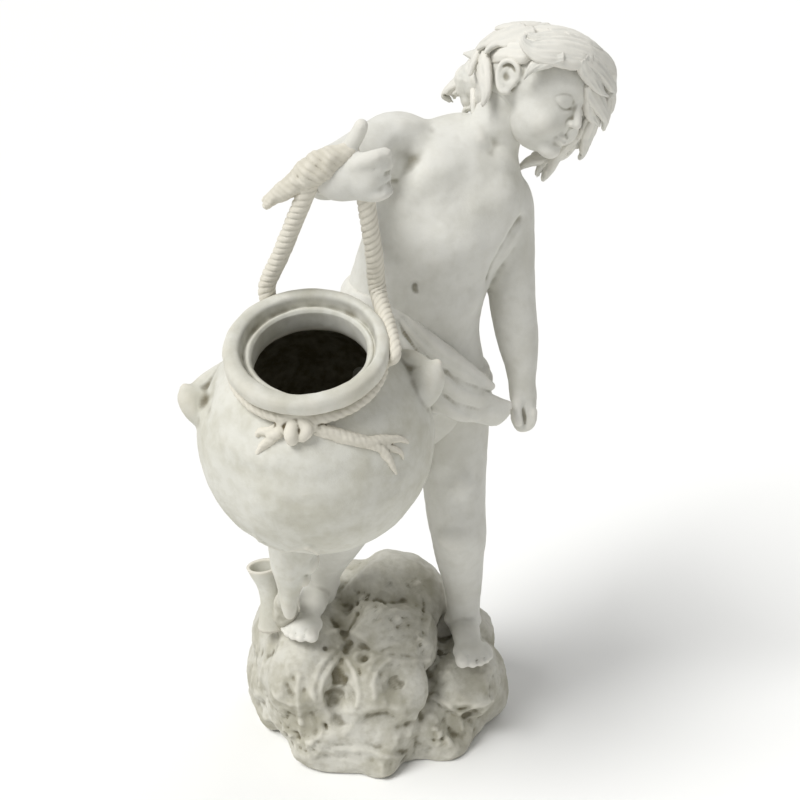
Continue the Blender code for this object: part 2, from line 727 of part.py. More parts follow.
def main():
    for scene_object in list(bpy.data.objects):
        bpy.data.objects.remove(scene_object)

    figure = torso() + left_arm() + right_arm() + legs()
    figure += foot((94, 15, 97), (101, -38, 100), -1)
    figure += foot((-60, 14, 150), (-75, -60, 150), 1)
    figure += face() + hair() + drape() + ropes() + pot_trim() + hanging_end_and_tube()
    body = fused("statue", figure, FIGURE_VOXEL, 3)
    press(body, spot(39, -62, 531), (4, 7, 6))
    for hollow in lug_hollows():
        press(body, hollow, LUG_HOLLOW)
    body = thinned(body, FIGURE_TRIANGLES)

    base = fused("rock", rock(), ROCK_VOXEL, 6)
    roughen(base)
    for centre, radii, turn in rock_hollows():
        press(base, rock_spot(*centre), radii, turn)
    base = thinned(base, ROCK_TRIANGLES)

    body = combined(body, base, "UNION")
    body = combined(body, pot_body(), "UNION")
    body = combined(body, pot_hollow(), "DIFFERENCE")
    body = combined(body, ground_block(), "DIFFERENCE")
    body.data.materials.clear()
    body.data.materials.append(stone("cast_stone"))
    body.data.shade_smooth()

    collection = bpy.data.collections.new("child_garden_statue")
    bpy.context.scene.collection.children.link(collection)
    bpy.context.scene.collection.objects.unlink(body)
    collection.objects.link(body)


main()
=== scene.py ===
import math

import bpy
import numpy as np
from mathutils import Matrix, Vector, noise
from mathutils.bvhtree import BVHTree


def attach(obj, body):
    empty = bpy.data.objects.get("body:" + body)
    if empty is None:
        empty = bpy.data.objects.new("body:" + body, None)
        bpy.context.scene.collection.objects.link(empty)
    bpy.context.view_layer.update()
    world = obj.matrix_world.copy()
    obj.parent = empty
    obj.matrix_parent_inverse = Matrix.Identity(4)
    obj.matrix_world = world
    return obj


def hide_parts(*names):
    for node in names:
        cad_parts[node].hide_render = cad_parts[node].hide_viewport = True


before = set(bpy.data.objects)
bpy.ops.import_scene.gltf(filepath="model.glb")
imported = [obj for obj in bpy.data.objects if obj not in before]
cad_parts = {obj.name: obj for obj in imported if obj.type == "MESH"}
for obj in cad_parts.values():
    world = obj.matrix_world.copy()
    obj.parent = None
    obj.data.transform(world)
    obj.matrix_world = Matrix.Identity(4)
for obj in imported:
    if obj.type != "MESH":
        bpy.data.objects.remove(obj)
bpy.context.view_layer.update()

# Every length below is in millimetres, in the frame's own place and turn.
MM = 0.001

# How finely each piece is meshed: the gap between its points
SPACING = {
    "child_body": 2.0,
    "child_legs": 2.0,
    "skull": 0.95,
    "child_head": 1.1,
    "hair_under": 1.6,
    "child_hair": 1.3,
    "hip_cloth": 1.8,
    "pot_body": 2.0,
    "pot_lip": 2.0,
    "pot_neck_rope": 1.0,
    "bail_rope_left": 1.0,
    "bail_rope_right": 1.0,
    "wrist_wrap": 0.85,
    "rock": 2.0,
    "hanging_end": 1.8,
    "flared_tube": 1.8,
}

# The photograph's camera
LOOK_AT = (25, 0, 390)
CAMERA_DISTANCE = 1300
CAMERA_HEIGHT_ANGLE = math.radians(25)
PICTURE = 800
FOCAL_PIXELS = 1282

# The pot
POT_RADIUS = 108
POT_WALL = 9
POT_MOUTH_RADIUS = 49.5
POT_NECK_RADIUS = 61
POT_LIP_RADIUS = 71.5
POT_LIP_HEIGHT = 19
POT_NECK_HEIGHT = 12
POT_MOUTH = (-55, -176, 526.6)
POT_TILT = math.radians(22)
POT_LEAN = math.radians(2)
SHOULDER_HEIGHT = math.sqrt(POT_RADIUS ** 2 - POT_NECK_RADIUS ** 2)
LIP_TOP = SHOULDER_HEIGHT + POT_NECK_HEIGHT + POT_LIP_HEIGHT
NECK_ROPE_HEIGHT = SHOULDER_HEIGHT + POT_NECK_HEIGHT * 0.45
ROPE_RADIUS = 7.8
BORE_SHIFT = 2.5

# The head
HEAD = (152, -2, 704)
HEAD_TILT = math.radians(32)
HEAD_TURN = math.radians(46)
HEAD_RISE = math.radians(12)
SCALP = Vector((0, 12, 6))
SCALP_RADII = Vector((49, 52, 44))

# The feet: heel, front, and the side of the big toe; and each toe across, ahead and thick
LEFT_FOOT = ((94, 15, 97), (101, -38, 100), -1)
RIGHT_FOOT = ((-60, 14, 150), (-75, -60, 150), 1)
TOES = [(12, 17, 7.6), (1, 19, 5.4), (-7.5, 17, 5.1), (-14.8, 13, 4.8), (-21, 7, 4.6)]


def at(x, y, z):
    """A point given in millimetres."""
    return Vector((x, y, z)) * MM


def alone(*pieces):
    """Nothing is selected but these pieces, and the first is the active one."""
    if bpy.context.object and bpy.context.object.mode != "OBJECT":
        bpy.ops.object.mode_set(mode="OBJECT")
    bpy.ops.object.select_all(action="DESELECT")
    for piece in pieces:
        piece.select_set(True)
    if pieces:
        bpy.context.view_layer.objects.active = pieces[0]


def applied(piece):
    """The piece with its modifiers made real and its place in its mesh."""
    alone(piece)
    for modifier in list(piece.modifiers):
        bpy.ops.object.modifier_apply(modifier=modifier.name)
    bpy.ops.object.transform_apply(location=True, rotation=True, scale=True)
    return piece


# Rough forms, as lumps and rolls of clay

def ball(x, y, z, radii, turn=(0, 0, 0)):
    alone()
    bpy.ops.mesh.primitive_uv_sphere_add(segments=32, ring_count=20, radius=1, location=at(x, y, z),
                                         rotation=[math.radians(angle) for angle in turn],
                                         scale=[radius * MM for radius in radii])
    return bpy.context.object


def eased(points, steps=5):
    """A smooth run of points through the given ones."""
    knots = [np.array(point, float) for point in points]
    knots = [2 * knots[0] - knots[1]] + knots + [2 * knots[-1] - knots[-2]]
    run = []
    for before, start, end, after in zip(knots, knots[1:], knots[2:], knots[3:]):
        for step in range(steps):
            t = step / steps
            run.append(0.5 * (2 * start + (end - before) * t
                              + (2 * before - 5 * start + 4 * end - after) * t * t
                              + (3 * start - before - 3 * end + after) * t ** 3))
    run.append(knots[-2])
    return np.array(run)


def limb(points, steps=5):
    """A round roll through (x, y, z, radius) points, with rounded ends."""
    run = eased(points, steps)
    front = run[0, :3] - run[1, :3]
    front /= np.linalg.norm(front)
    back = run[-1, :3] - run[-2, :3]
    back /= np.linalg.norm(back)
    caps = [(math.sin(a) * 0.9, math.cos(a)) for a in (0.5, 1.0, 1.35)]
    start = [(*(run[0, :3] + front * run[0, 3] * out), run[0, 3] * thin) for out, thin in reversed(caps)]
    end = [(*(run[-1, :3] + back * run[-1, 3] * out), run[-1, 3] * thin) for out, thin in caps]
    curve = bpy.data.curves.new("limb", "CURVE")
    curve.dimensions = "3D"
    curve.bevel_depth = MM
    curve.bevel_resolution = 6
    curve.use_fill_caps = True
    spline = curve.splines.new("POLY")
    run = start + [tuple(point) for point in run] + end
    spline.points.add(len(run) - 1)
    for point, (x, y, z, radius) in zip(spline.points, run):
        point.co = (*at(x, y, z), 1)
        point.radius = radius
    roll = bpy.data.objects.new("limb", curve)
    bpy.context.scene.collection.objects.link(roll)
    alone(roll)
    bpy.ops.object.convert(target="MESH")
    return bpy.context.object


def ringed(name, rings, filled=True):
    """A skin through rings of points, which no primitive gives: each ring joins the next."""
    rings = np.asarray(rings, float)
    count, sides = rings.shape[:2]
    corner = np.arange(sides)
    after = (corner + 1) % sides
    faces = []
    for ring in range(count - 1):
        low, high = ring * sides, (ring + 1) * sides
        faces += np.stack([low + corner, low + after, high + after, high + corner], 1).tolist()
    if filled:
        faces.append(corner[::-1].tolist())
        faces.append((corner + (count - 1) * sides).tolist())
    mesh = bpy.data.meshes.new(name)
    mesh.from_pydata((rings.reshape(-1, 3) * MM).tolist(), [], faces)
    piece = bpy.data.objects.new(name, mesh)
    bpy.context.scene.collection.objects.link(piece)
    alone(piece)
    bpy.ops.object.mode_set(mode="EDIT")
    bpy.ops.mesh.select_all(action="SELECT")
    bpy.ops.mesh.normals_make_consistent(inside=False)
    bpy.ops.object.mode_set(mode="OBJECT")
    return piece


def barrel(stations, sides=48):
    """A body through oval sections: (x, y, z, half width, half depth, lean to +X in degrees)."""
    rings = []
    angle = np.linspace(0, 2 * math.pi, sides, endpoint=False)[:, None]
    for x, y, z, half_width, half_depth, lean in eased(stations):
        lean = math.radians(lean)
        across = np.array([math.cos(lean), 0, -math.sin(lean)])
        rings.append(np.array([x, y, z]) + np.cos(angle) * across * half_width
                     + np.sin(angle) * np.array([0, 1, 0]) * half_depth)
    return ringed("barrel", rings)


def carried(path):
    """Two side directions for each point of a path, turned no more than the path turns."""
    along = np.gradient(path, axis=0)
    along /= np.linalg.norm(along, axis=1)[:, None]
    side = np.cross(along[0], (0.1, 0.9, 0.3))
    sides = []
    for direction in along:
        side = side - direction * (side @ direction)
        side /= np.linalg.norm(side)
        sides.append(side)
    sides = np.array(sides)
    return sides, np.cross(along, sides)


def twisted(name, points, lay=26.0, strands=4, depth=0.12, sides=44, spacing=0.8, fray=0.0):
    """A laid rope through (x, y, z, radius) points: the strands wind once round in each lay.

    A screw and a curve can't taper the strands at a rope's end, so it is ringed.
    """
    run = eased(points, 12)
    steps = np.linalg.norm(np.diff(run[:, :3], axis=0), axis=1)
    length = np.concatenate([[0], np.cumsum(steps)])
    places = np.arange(0, length[-1], spacing)
    path = np.stack([np.interp(places, length, run[:, axis]) for axis in range(4)], 1)
    side, up = carried(path[:, :3])
    angle = np.linspace(0, 2 * math.pi, sides, endpoint=False)
    turn = strands * (angle[None, :] / (2 * math.pi) - places[:, None] / lay)
    off = (turn + 0.5) % 1 - 0.5
    groove = np.exp(-(off / 0.11) ** 2) - 0.12 * np.abs(off)
    wander = np.array([[noise.noise(Vector((place * 0.11, math.cos(a) * 1.3, math.sin(a) * 1.3)))
                        for a in angle] for place in places])
    radius = path[:, 3:4] * (1 - depth * groove + (0.07 + fray) * wander)
    rings = (path[:, None, :3] + radius[..., None] * (np.cos(angle)[None, :, None] * side[:, None]
                                                      + np.sin(angle)[None, :, None] * up[:, None]))
    return ringed(name, rings)


def fused(name, parts, rounds, firm=()):
    """The parts as one skin with the joins worked soft; firm places are smoothed less.

    firm lists (x, y, z, reach, share of the smoothing).
    """
    alone(*parts)
    bpy.ops.object.join()
    piece = bpy.context.object
    piece.name = piece.data.name = name
    bpy.ops.object.transform_apply(location=True, rotation=True, scale=True)
    remesh = piece.modifiers.new("Fuse", "REMESH")
    remesh.mode = "VOXEL"
    remesh.voxel_size = SPACING[name] * MM
    applied(piece)
    clay = Clay(piece)
    clay.relax(rounds, firm)
    clay.write()
    return piece


class Clay:
    """The points of a piece, in millimetres, while strokes work them."""

    def __init__(self, piece):
        self.piece = piece
        mesh = piece.data
        count = len(mesh.vertices)
        points = np.empty(count * 3, np.float32)
        mesh.vertices.foreach_get("co", points)
        self.points = points.reshape(-1, 3).astype(float) / MM
        edges = np.empty(len(mesh.edges) * 2, np.int32)
        mesh.edges.foreach_get("vertices", edges)
        self.edges = edges.reshape(-1, 2)
        self.links = np.bincount(self.edges.ravel(), minlength=count)
        self.read_normals()
        self.tree = None

    def read_normals(self):
        normals = np.empty(len(self.points) * 3, np.float32)
        self.piece.data.vertex_normals.foreach_get("vector", normals)
        self.normals = normals.reshape(-1, 3).astype(float)

    def write(self):
        mesh = self.piece.data
        mesh.vertices.foreach_set("co", (self.points * MM).astype(np.float32).ravel())
        mesh.update()
        self.read_normals()
        self.tree = None

    def mean(self, values):
        """The mean of each point's neighbours."""
        first, second = self.edges.T
        count = len(self.points)
        total = np.stack([np.bincount(first, values[second, axis], count)
                          + np.bincount(second, values[first, axis], count)
                          for axis in range(values.shape[1])], 1)
        return total / np.maximum(self.links, 1)[:, None]

    def relax(self, rounds, firm=()):
        share = np.ones(len(self.points))
        for x, y, z, reach, keep in firm:
            far = np.linalg.norm(self.points - (x, y, z), axis=1) / reach
            share = np.minimum(share, keep + (1 - keep) * np.clip((far - 0.8) / 0.4, 0, 1))
        share = (0.5 * share)[:, None]
        for step in range(rounds):
            self.points += (self.mean(self.points) - self.points) * share

    def near(self, run, width):
        """Which points lie within a width of a run of points, and how far off they are."""
        low, high = run.min(0) - width, run.max(0) + width
        found = np.flatnonzero(((self.points > low) & (self.points < high)).all(1))
        points = self.points[found]
        away = np.full(len(found), 1e9)
        for start, end in zip(run[:-1], run[1:]):
            along = end - start
            t = np.clip(((points - start) @ along) / max(along @ along, 1e-9), 0, 1)
            away = np.minimum(away, np.linalg.norm(points - start - t[:, None] * along, axis=1))
        close = away < width
        return found[close], away[close] / width

    def stroke(self, points, width, height, crest=2.0):
        """Raises a ridge along a path, or cuts a groove where the height is below zero.

        A crest of 2 is round, and less is sharper.
        """
        run = eased(points, 4) if len(points) > 1 else np.array([points[0], points[0]], float)
        found, away = self.near(run, width)
        self.points[found] += self.normals[found] * (height * (1 - away ** crest) ** 2)[:, None]

    def drawn(self, pixels, width, height, crest=2.0):
        """A stroke whose path is drawn over the photograph and falls on the piece."""
        run = [self.under(x, y) for x, y in eased(pixels, 5)]
        run = [point for point in run if point is not None]
        if len(run) > 1:
            found, away = self.near(np.array(run), width)
            self.points[found] += self.normals[found] * (height * (1 - away ** crest) ** 2)[:, None]

    def drawings(self, lines):
        """Draws lines, each its points, width, height and, where it isn't round, its crest."""
        for line in lines:
            self.drawn(*line)

    def skin(self):
        """The piece's skin, as something that a ray can find."""
        if self.tree is None:
            self.tree = BVHTree.FromPolygons(self.points.tolist(),
                                             [list(face.vertices) for face in self.piece.data.polygons])
        return self.tree

    def under(self, x, y):
        """The point of the piece that lies under a point of the photograph."""
        hit = self.skin().ray_cast(Vector(EYE), Vector(sight(x, y)))[0]
        return None if hit is None else np.array(hit)

    def front(self, x, z):
        """The point of the face at a place across and up, seen from straight before it."""
        hit = self.skin().ray_cast(Vector((x, -100, z)), Vector((0, 1, 0)))[0]
        return np.array(hit)

    def fronted(self, places):
        return [tuple(self.front(x, z)) for x, z in places]

    def press(self, centre, radii, turn=0.0):
        """Pushes the skin inside an oval out to its surface, as a thumb presses clay."""
        basis = np.array(Matrix.Rotation(math.radians(turn), 3, "Y"))
        local = (self.points - np.array(centre)) @ basis / np.array(radii)
        reach = np.linalg.norm(local, axis=1)
        inside = (reach < 1) & (reach > 1e-6)
        local[inside] /= reach[inside][:, None]
        self.points[inside] = (local[inside] * np.array(radii)) @ basis.T + np.array(centre)

    def swell(self, centre, reach, height):
        """Raises or sinks a soft round place."""
        away = np.linalg.norm((self.points - np.array(centre)) / reach, axis=1)
        inside = away < 1
        self.points[inside] += self.normals[inside] * (height * (1 - away[inside] ** 2) ** 2)[:, None]

    def swells(self, places):
        """Swells places seen in the photograph: (x, y, reach, height)."""
        for x, y, reach, height in places:
            place = self.under(x, y)
            if place is not None:
                self.swell(place, reach, height)

    def roughen(self, height, size, where=None, seed=0.0):
        """Uneven skin of a given height and size."""
        amount = np.array([noise.noise(Vector(point) / size + Vector((seed, seed, seed)))
                           for point in self.points])
        if where is not None:
            amount *= where
        self.points += self.normals * (height * amount)[:, None]


# The photograph's view

def sight_frame():
    height = CAMERA_HEIGHT_ANGLE
    forward = np.array([0, math.cos(height), -math.sin(height)])
    up = np.array([0, math.sin(height), math.cos(height)])
    return np.array(LOOK_AT, float) - CAMERA_DISTANCE * forward, forward, up


EYE, FORWARD, UPWARD = sight_frame()


def sight(x, y):
    """The direction from the camera through a point of the photograph."""
    middle = PICTURE / 2
    return (FORWARD + np.array([1.0, 0, 0]) * (x - middle) / FOCAL_PIXELS
            - UPWARD * (y - middle) / FOCAL_PIXELS)


# The child

def torso_forms():
    return [
        barrel([
            (38, 8, 350, 44, 38, 0),
            (38, 7, 372, 66, 50, 0),
            (37, 6, 404, 74, 55, 3),
            (36, 3, 444, 73, 56, 6),
            (37, 0, 484, 68, 57, 13),
            (45, -3, 523, 66, 57, 20),
            (58, -2, 561, 67, 53, 26),
            (75, 0, 597, 72, 49, 30),
            (88, 3, 629, 66, 44, 31),
            (98, 5, 650, 48, 36, 31),
            (106, 4, 666, 29, 27, 30),
        ]),
        ball(38, 34, 400, (62, 30, 40)),
        ball(38, -20, 598, (28, 26, 20), (0, 30, 0)),
        ball(93, -22, 582, (28, 24, 20), (0, 30, 0)),
        ball(40, 26, 618, (26, 20, 30), (0, 30, 0)),
        ball(104, 28, 590, (26, 20, 30), (0, 30, 0)),
        limb([(104, 4, 645, 33), (112, 3, 664, 28), (122, 0, 684, 26.5), (136, -3, 702, 26)]),
    ]


def left_arm_forms():
    """The arm that hangs straight, with its closed fist."""
    forms = [
        limb([(104, 8, 610, 30), (124, 12, 596, 28), (130, 14, 566, 25.5), (133, 13, 528, 24.5),
              (136, 9, 492, 23.5), (142, 4, 456, 21.5), (146, -2, 430, 17), (147, -5, 414, 14.5),
              (149, -8, 398, 14.5)]),
        ball(151, -6, 390, (12, 18, 17)),
    ]
    for finger in range(4):
        forms.append(limb([(157 - finger, -20 + finger * 9, 386 - finger, 6.2),
                           (155, -22 + finger * 9, 374, 6.0), (146, -21 + finger * 8, 370, 5.6),
                           (141, -18 + finger * 7, 378, 5.2)]))
    forms.append(limb([(144, -17, 402, 6.6), (140, -25, 391, 6.0), (143, -29, 379, 5.2)]))
    return forms


def right_arm_forms():
    """The raised arm comes forward, and its hand grips the rope with the thumb up."""
    forms = [
        limb([(52, 4, 636, 30), (24, -6, 653, 31), (2, -26, 651, 28), (-22, -48, 644, 25),
              (-38, -68, 642, 23.5), (-40, -92, 648, 22), (-39, -116, 655, 18.5), (-36, -132, 659, 17)]),
        ball(-20, -141, 658, (27, 16, 20), (0, -12, 0)),
        ball(-4, -144, 659, (19, 15, 20), (0, -10, 0)),
        limb([(-26, -140, 674, 9), (-16, -143, 685, 7.4), (-9, -145, 696, 6.6), (-6, -146, 703, 6.2)]),
        # the forefinger lies over the others
        limb([(-12, -150, 671, 8), (0, -152, 676, 7.5), (9, -151, 679, 7), (14, -147, 680, 6.2)]),
    ]
    for finger in range(3):
        height = 668 - finger * 10
        forms.append(limb([(2, -149, height - 2, 7.5), (11 + finger, -149, height, 7.2),
                           (16 + finger, -143, height + 0.5, 6.4), (12 + finger, -136, height - 1, 6.4)]))
    return forms


def leg_forms():
    return [
        limb([(74, 8, 398, 44), (79, 4, 358, 38), (81, -3, 304, 34), (84, -8, 262, 31.5),
              (87, -9, 240, 30), (89, 2, 207, 27), (93, 8, 172, 22.5), (95, 9, 142, 19),
              (95, 9, 118, 18.5), (95, 10, 106, 16)]),
        ball(84, -30, 250, (20, 12, 20)),
        limb([(10, 8, 396, 44), (2, -8, 356, 39), (-10, -30, 318, 34), (-23, -44, 288, 31.5),
              (-32, -42, 270, 30), (-44, -24, 240, 29), (-54, -10, 208, 24), (-59, -6, 182, 19),
              (-60, -4, 162, 17)]),
    ]


def foot_forms(heel, front, inner):
    """A bare foot from its heel to its toes; inner is +1 where the big toe is on the +X side."""
    heel = Vector(heel)
    front = Vector(front)
    along = (front - heel).normalized()
    side = Vector((-along.y, along.x, 0)).normalized() * inner
    middle = heel.lerp(front, 0.5)
    forms = [
        ball(*(heel + Vector((0, 0, 14))), (15, 17, 17)),
        ball(*(middle + Vector((0, 0, 16))), (16, 32, 15)),
        ball(*(front + Vector((0, 0, 8.5))), (20, 17, 10.5)),
    ]
    for across, ahead, radius in TOES:
        root = front + side * across * 0.85 + along * (ahead - 16) + Vector((0, 0, 9))
        knuckle = front + side * across + along * (ahead - 6) + Vector((0, 0, 8.5))
        tip = front + side * across + along * ahead + Vector((0, 0, radius - 0.5))
        forms.append(limb([(*root, radius), (*knuckle, radius * 0.92), (*tip, radius)], 3))
    return forms


# Places on the body, in the photograph's pixels: (x, y, reach, height). The armpit is hollow,
# the chest, ribs and belly are full, and the arm is set off from the side.
BODY_PLACES = [
    (405, 156, 26, -9), (396, 182, 22, -6), (390, 132, 18, -2), (440, 160, 32, 5.0), (418, 178, 24, 4.0),
    (506, 196, 26, 5.0), (514, 214, 18, 1.5), (461, 190, 26, -3.0), (458, 214, 26, -2.5),
    (428, 214, 26, -2.5), (488, 228, 24, -2.0), (410, 232, 28, 3.5), (436, 262, 36, 6.0),
    (470, 250, 22, 2.0), (468, 292, 22, -2.5), (476, 300, 16, 2.5), (396, 262, 20, -2.5),
    (494, 148, 16, -2.4), (476, 132, 18, 2.5), (508, 160, 18, 2.0), (455, 136, 26, -1.5),
]
# The line between arm and side, the neck's cord and the collar bones: pixels, width, height
BODY_LINES = [
    ([(521, 220), (514, 232), (506, 246), (496, 264), (490, 278)], 10, -4.5),
    ([(470, 118), (480, 132), (488, 146)], 7, 2.0),
    ([(496, 150), (510, 158), (524, 172)], 7, 1.6),
    ([(402, 122), (430, 124), (456, 130), (480, 142)], 9, 1.6),
]
# The navel with its lid, and the creases at the elbow and the wrist
BODY_CREASES = [
    ([(414.5, 285), (414, 289), (416, 292)], 5, -2.8),
    ([(411, 284), (414, 280.5), (419, 282)], 3.4, 1.0),
    ([(507, 296), (514, 300), (522, 298)], 4.0, -0.9),
    ([(383, 150), (386, 172), (381, 190)], 6, -1.0),
]
# The gaps between the fingers of the raised hand and of the hanging one
FINGER_GAPS = [
    ([(374, 163), (382, 160), (391, 158)], 3.0, -0.8, 1.4),
    ([(384, 174), (390, 172), (397, 170)], 3.0, -0.8, 1.4),
    ([(385, 184), (391, 182), (398, 181)], 3.0, -0.8, 1.4),
    ([(517, 410), (520, 424)], 3.2, -1.0, 1.4),
    ([(523, 409), (526, 427)], 3.2, -1.0, 1.4),
    ([(529, 408), (532, 427)], 3.2, -1.0, 1.4),
]
# The groove of the back and the shoulder blades, in the frame
BACK_STROKES = [
    ([(112, 38, 640), (94, 48, 600), (72, 54, 560), (52, 58, 515)], 15, -4.0),
    ([(62, 44, 640), (58, 50, 612), (64, 50, 590)], 9, 2.5),
    ([(118, 40, 622), (112, 48, 596), (108, 48, 580)], 9, 2.5),
]


def child_body():
    forms = torso_forms() + left_arm_forms() + right_arm_forms()
    # a rough head under the real one lets the neck run up to the jaw in a soft curve
    head = head_matrix()
    for x, y, z, radius in ((0, 4, 2, 40), (0, -14, -16, 32)):
        forms.append(ball(*(head @ Vector((x, y, z))), (radius,) * 3))
    firm = [(2, -146, 664, 26, 0.22), (-8, -146, 700, 16, 0.15), (150, -14, 380, 26, 0.12)]
    body = fused("child_body", forms, 15, firm)
    clay = Clay(body)
    clay.swells(BODY_PLACES)
    clay.write()
    clay.drawings(BODY_LINES)
    clay.write()
    clay.relax(5, firm)
    for lines in (BODY_CREASES, FINGER_GAPS):
        clay.drawings(lines)
        clay.write()
    for stroke in BACK_STROKES:
        clay.stroke(*stroke)
    clay.write()
    clay.relax(2, firm)
    clay.write()
    clay.roughen(0.3, 9)
    clay.write()
    return body


# Knee cap and shin, in the photograph's pixels, and the ankle bones, in the frame
LEG_PLACES = [
    (462, 486, 20, 3.5), (446, 478, 14, -1.2), (477, 478, 14, -1.2),
    (462, 510, 18, -1.6), (450, 545, 24, 2.5), (476, 600, 16, -1.5),
]
ANKLES = [((116, 8, 116), 4.0), ((76, 8, 118), 4.0), ((-41, 0, 172), 3.5), ((-79, 2, 172), 3.5)]


def child_legs():
    forms = leg_forms()
    forms += foot_forms(*LEFT_FOOT)
    forms += foot_forms(*RIGHT_FOOT)
    firm = [(104, -54, 104, 20, 0.12), (-76, -76, 155, 22, 0.12)]
    legs = fused("child_legs", forms, 8, firm)
    clay = Clay(legs)
    clay.swells(LEG_PLACES)
    for place, height in ANKLES:
        clay.swell(place, 10, height)
    clay.write()
    clay.relax(3, firm)
    toe_creases(clay, *LEFT_FOOT)
    toe_creases(clay, *RIGHT_FOOT)
    clay.write()
    clay.roughen(0.3, 9)
    clay.write()
    return legs


def toe_creases(clay, heel, front, inner):
    """The gaps between the toes and each toe's nail."""
    heel = Vector(heel)
    front = Vector(front)
    along = (front - heel).normalized()
    side = Vector((-along.y, along.x, 0)).normalized() * inner
    for first, second in zip(TOES, TOES[1:]):
        across = (first[0] - first[2] + second[0] + second[2]) / 2
        ahead = min(first[1], second[1])
        gap = front + side * across + Vector((0, 0, 11))
        back = gap + along * (ahead - 8)
        tip = gap + along * (ahead + 3) - Vector((0, 0, 3))
        clay.stroke([tuple(back), tuple(tip)], 2.8, -2.4, 1.2)
    for across, ahead, radius in TOES:
        nail = front + side * across + along * (ahead + radius * 0.3) + Vector((0, 0, radius * 1.75))
        clay.swell(tuple(nail), radius * 0.6, -0.8)


# The head: drawn round its own origin, +X its left, -Y its face, +Z its crown

def head_matrix():
    tilt = Matrix.Rotation(HEAD_TILT, 4, "Y")
    turn = Matrix.Rotation(HEAD_TURN, 4, "Z") @ Matrix.Rotation(-HEAD_RISE, 4, "X")
    return Matrix.Translation(HEAD) @ tilt @ turn


def head_forms():
    """The skull, brow, cheeks, jaw and chin, on plain proportions with the eyes half way down."""
    forms = [
        ball(0, 6, 6, (46, 54, 43)),
        ball(0, -16, -16, (36, 32, 38)),
        ball(0, -17, 14, (39, 31, 29)),
        ball(0, -22, -32, (27, 23, 20)),
        ball(0, -36, -45, (13, 11, 10)),
    ]
    for side in (-1, 1):
        forms.append(ball(14 * side, -28, -24, (20, 16, 19)))
        forms.append(ball(16.5 * side, -34, -4.5, (11.5, 10, 10.5)))
    return forms


def face_forms():
    """What stands off the face and the sides of the head: nose, lips and ears."""
    forms = [
        limb([(0, -42, 4, 3.6), (0, -46.5, -5, 3.8), (0, -50.5, -13, 4.4), (0, -52, -16.5, 4.8)]),
        limb([(-8.4, -43.2, -33.2, 1.6), (-3.8, -46.2, -32.0, 2.4), (0, -46.6, -32.4, 2.2),
              (3.8, -46.2, -32.0, 2.4), (8.4, -43.2, -33.2, 1.6)]),
        limb([(-7.4, -43.2, -34.6, 1.6), (-2.8, -45.4, -35.6, 2.8), (2.8, -45.4, -35.6, 2.8),
              (7.4, -43.2, -34.6, 1.6)]),
    ]
    for side in (-1, 1):
        forms += [
            ball(4.6 * side, -48.5, -17.6, (3.4, 4.2, 3.2)),
            limb([(45 * side, -5, -1, 2.2), (47.5 * side, -3, 7, 2.5), (50 * side, 4, 11, 2.6),
                  (51 * side, 12, 8, 2.6), (50.5 * side, 14, 0, 2.6), (49 * side, 11, -9, 2.8),
                  (46.5 * side, 5, -15, 3.6), (45 * side, 0, -14, 3.2)]),
            ball(45.5 * side, 4, -3, (3.6, 9.5, 13)),
            limb([(48.5 * side, 9, 5, 1.8), (49 * side, 9.5, -3, 1.8), (48 * side, 5, -9, 1.8)]),
            ball(46 * side, -3.5, -4, (2.6, 2.6, 3.6)),
        ]
    return forms


# Lines of one side of the face, across from its middle and up, with their width and height:
# the lid's fold, the upper lid's edge, the shade below it, and the lower lid
EYE_LINES = [
    ([(9, 0), (12, 3), (17, 4.4), (23, 2.8), (27, -1)], 2.8, -0.6),
    ([(9, -5.4), (12.5, -7.2), (17, -8.2), (22, -7.2), (26.5, -4.2)], 1.8, -1.0),
    ([(10.5, -6.6), (13.5, -9.0), (17, -9.8), (21.5, -8.8), (25, -6.2)], 2.2, -0.3),
    ([(11, -9.6), (14, -11.6), (18, -12.2), (23, -10)], 2.0, 0.5),
]
# the brow and the wing of the nose
BROW_AND_NOSE = [
    ([(6, 8), (15, 11.5), (26, 9)], 6, 0.7),
    ([(7.4, -21), (9.2, -18), (8, -14.5)], 2.8, -0.4),
]
# the line between the lips, the groove above them and the hollow below
MOUTH_LINES = [
    ([(-8.6, -33.6), (-4.5, -33.4), (0, -34), (4.5, -33.4), (8.6, -33.6)], 1.6, -0.6),
    ([(0, -24), (0, -28)], 2.8, -0.6),
    ([(-6, -40.6), (0, -41.2), (6, -40.6)], 6, -0.6),
]


def face_lines(clay, lines, side=1):
    for points, width, height in lines:
        clay.stroke(clay.fronted([(x * side, z) for x, z in points]), width, height)


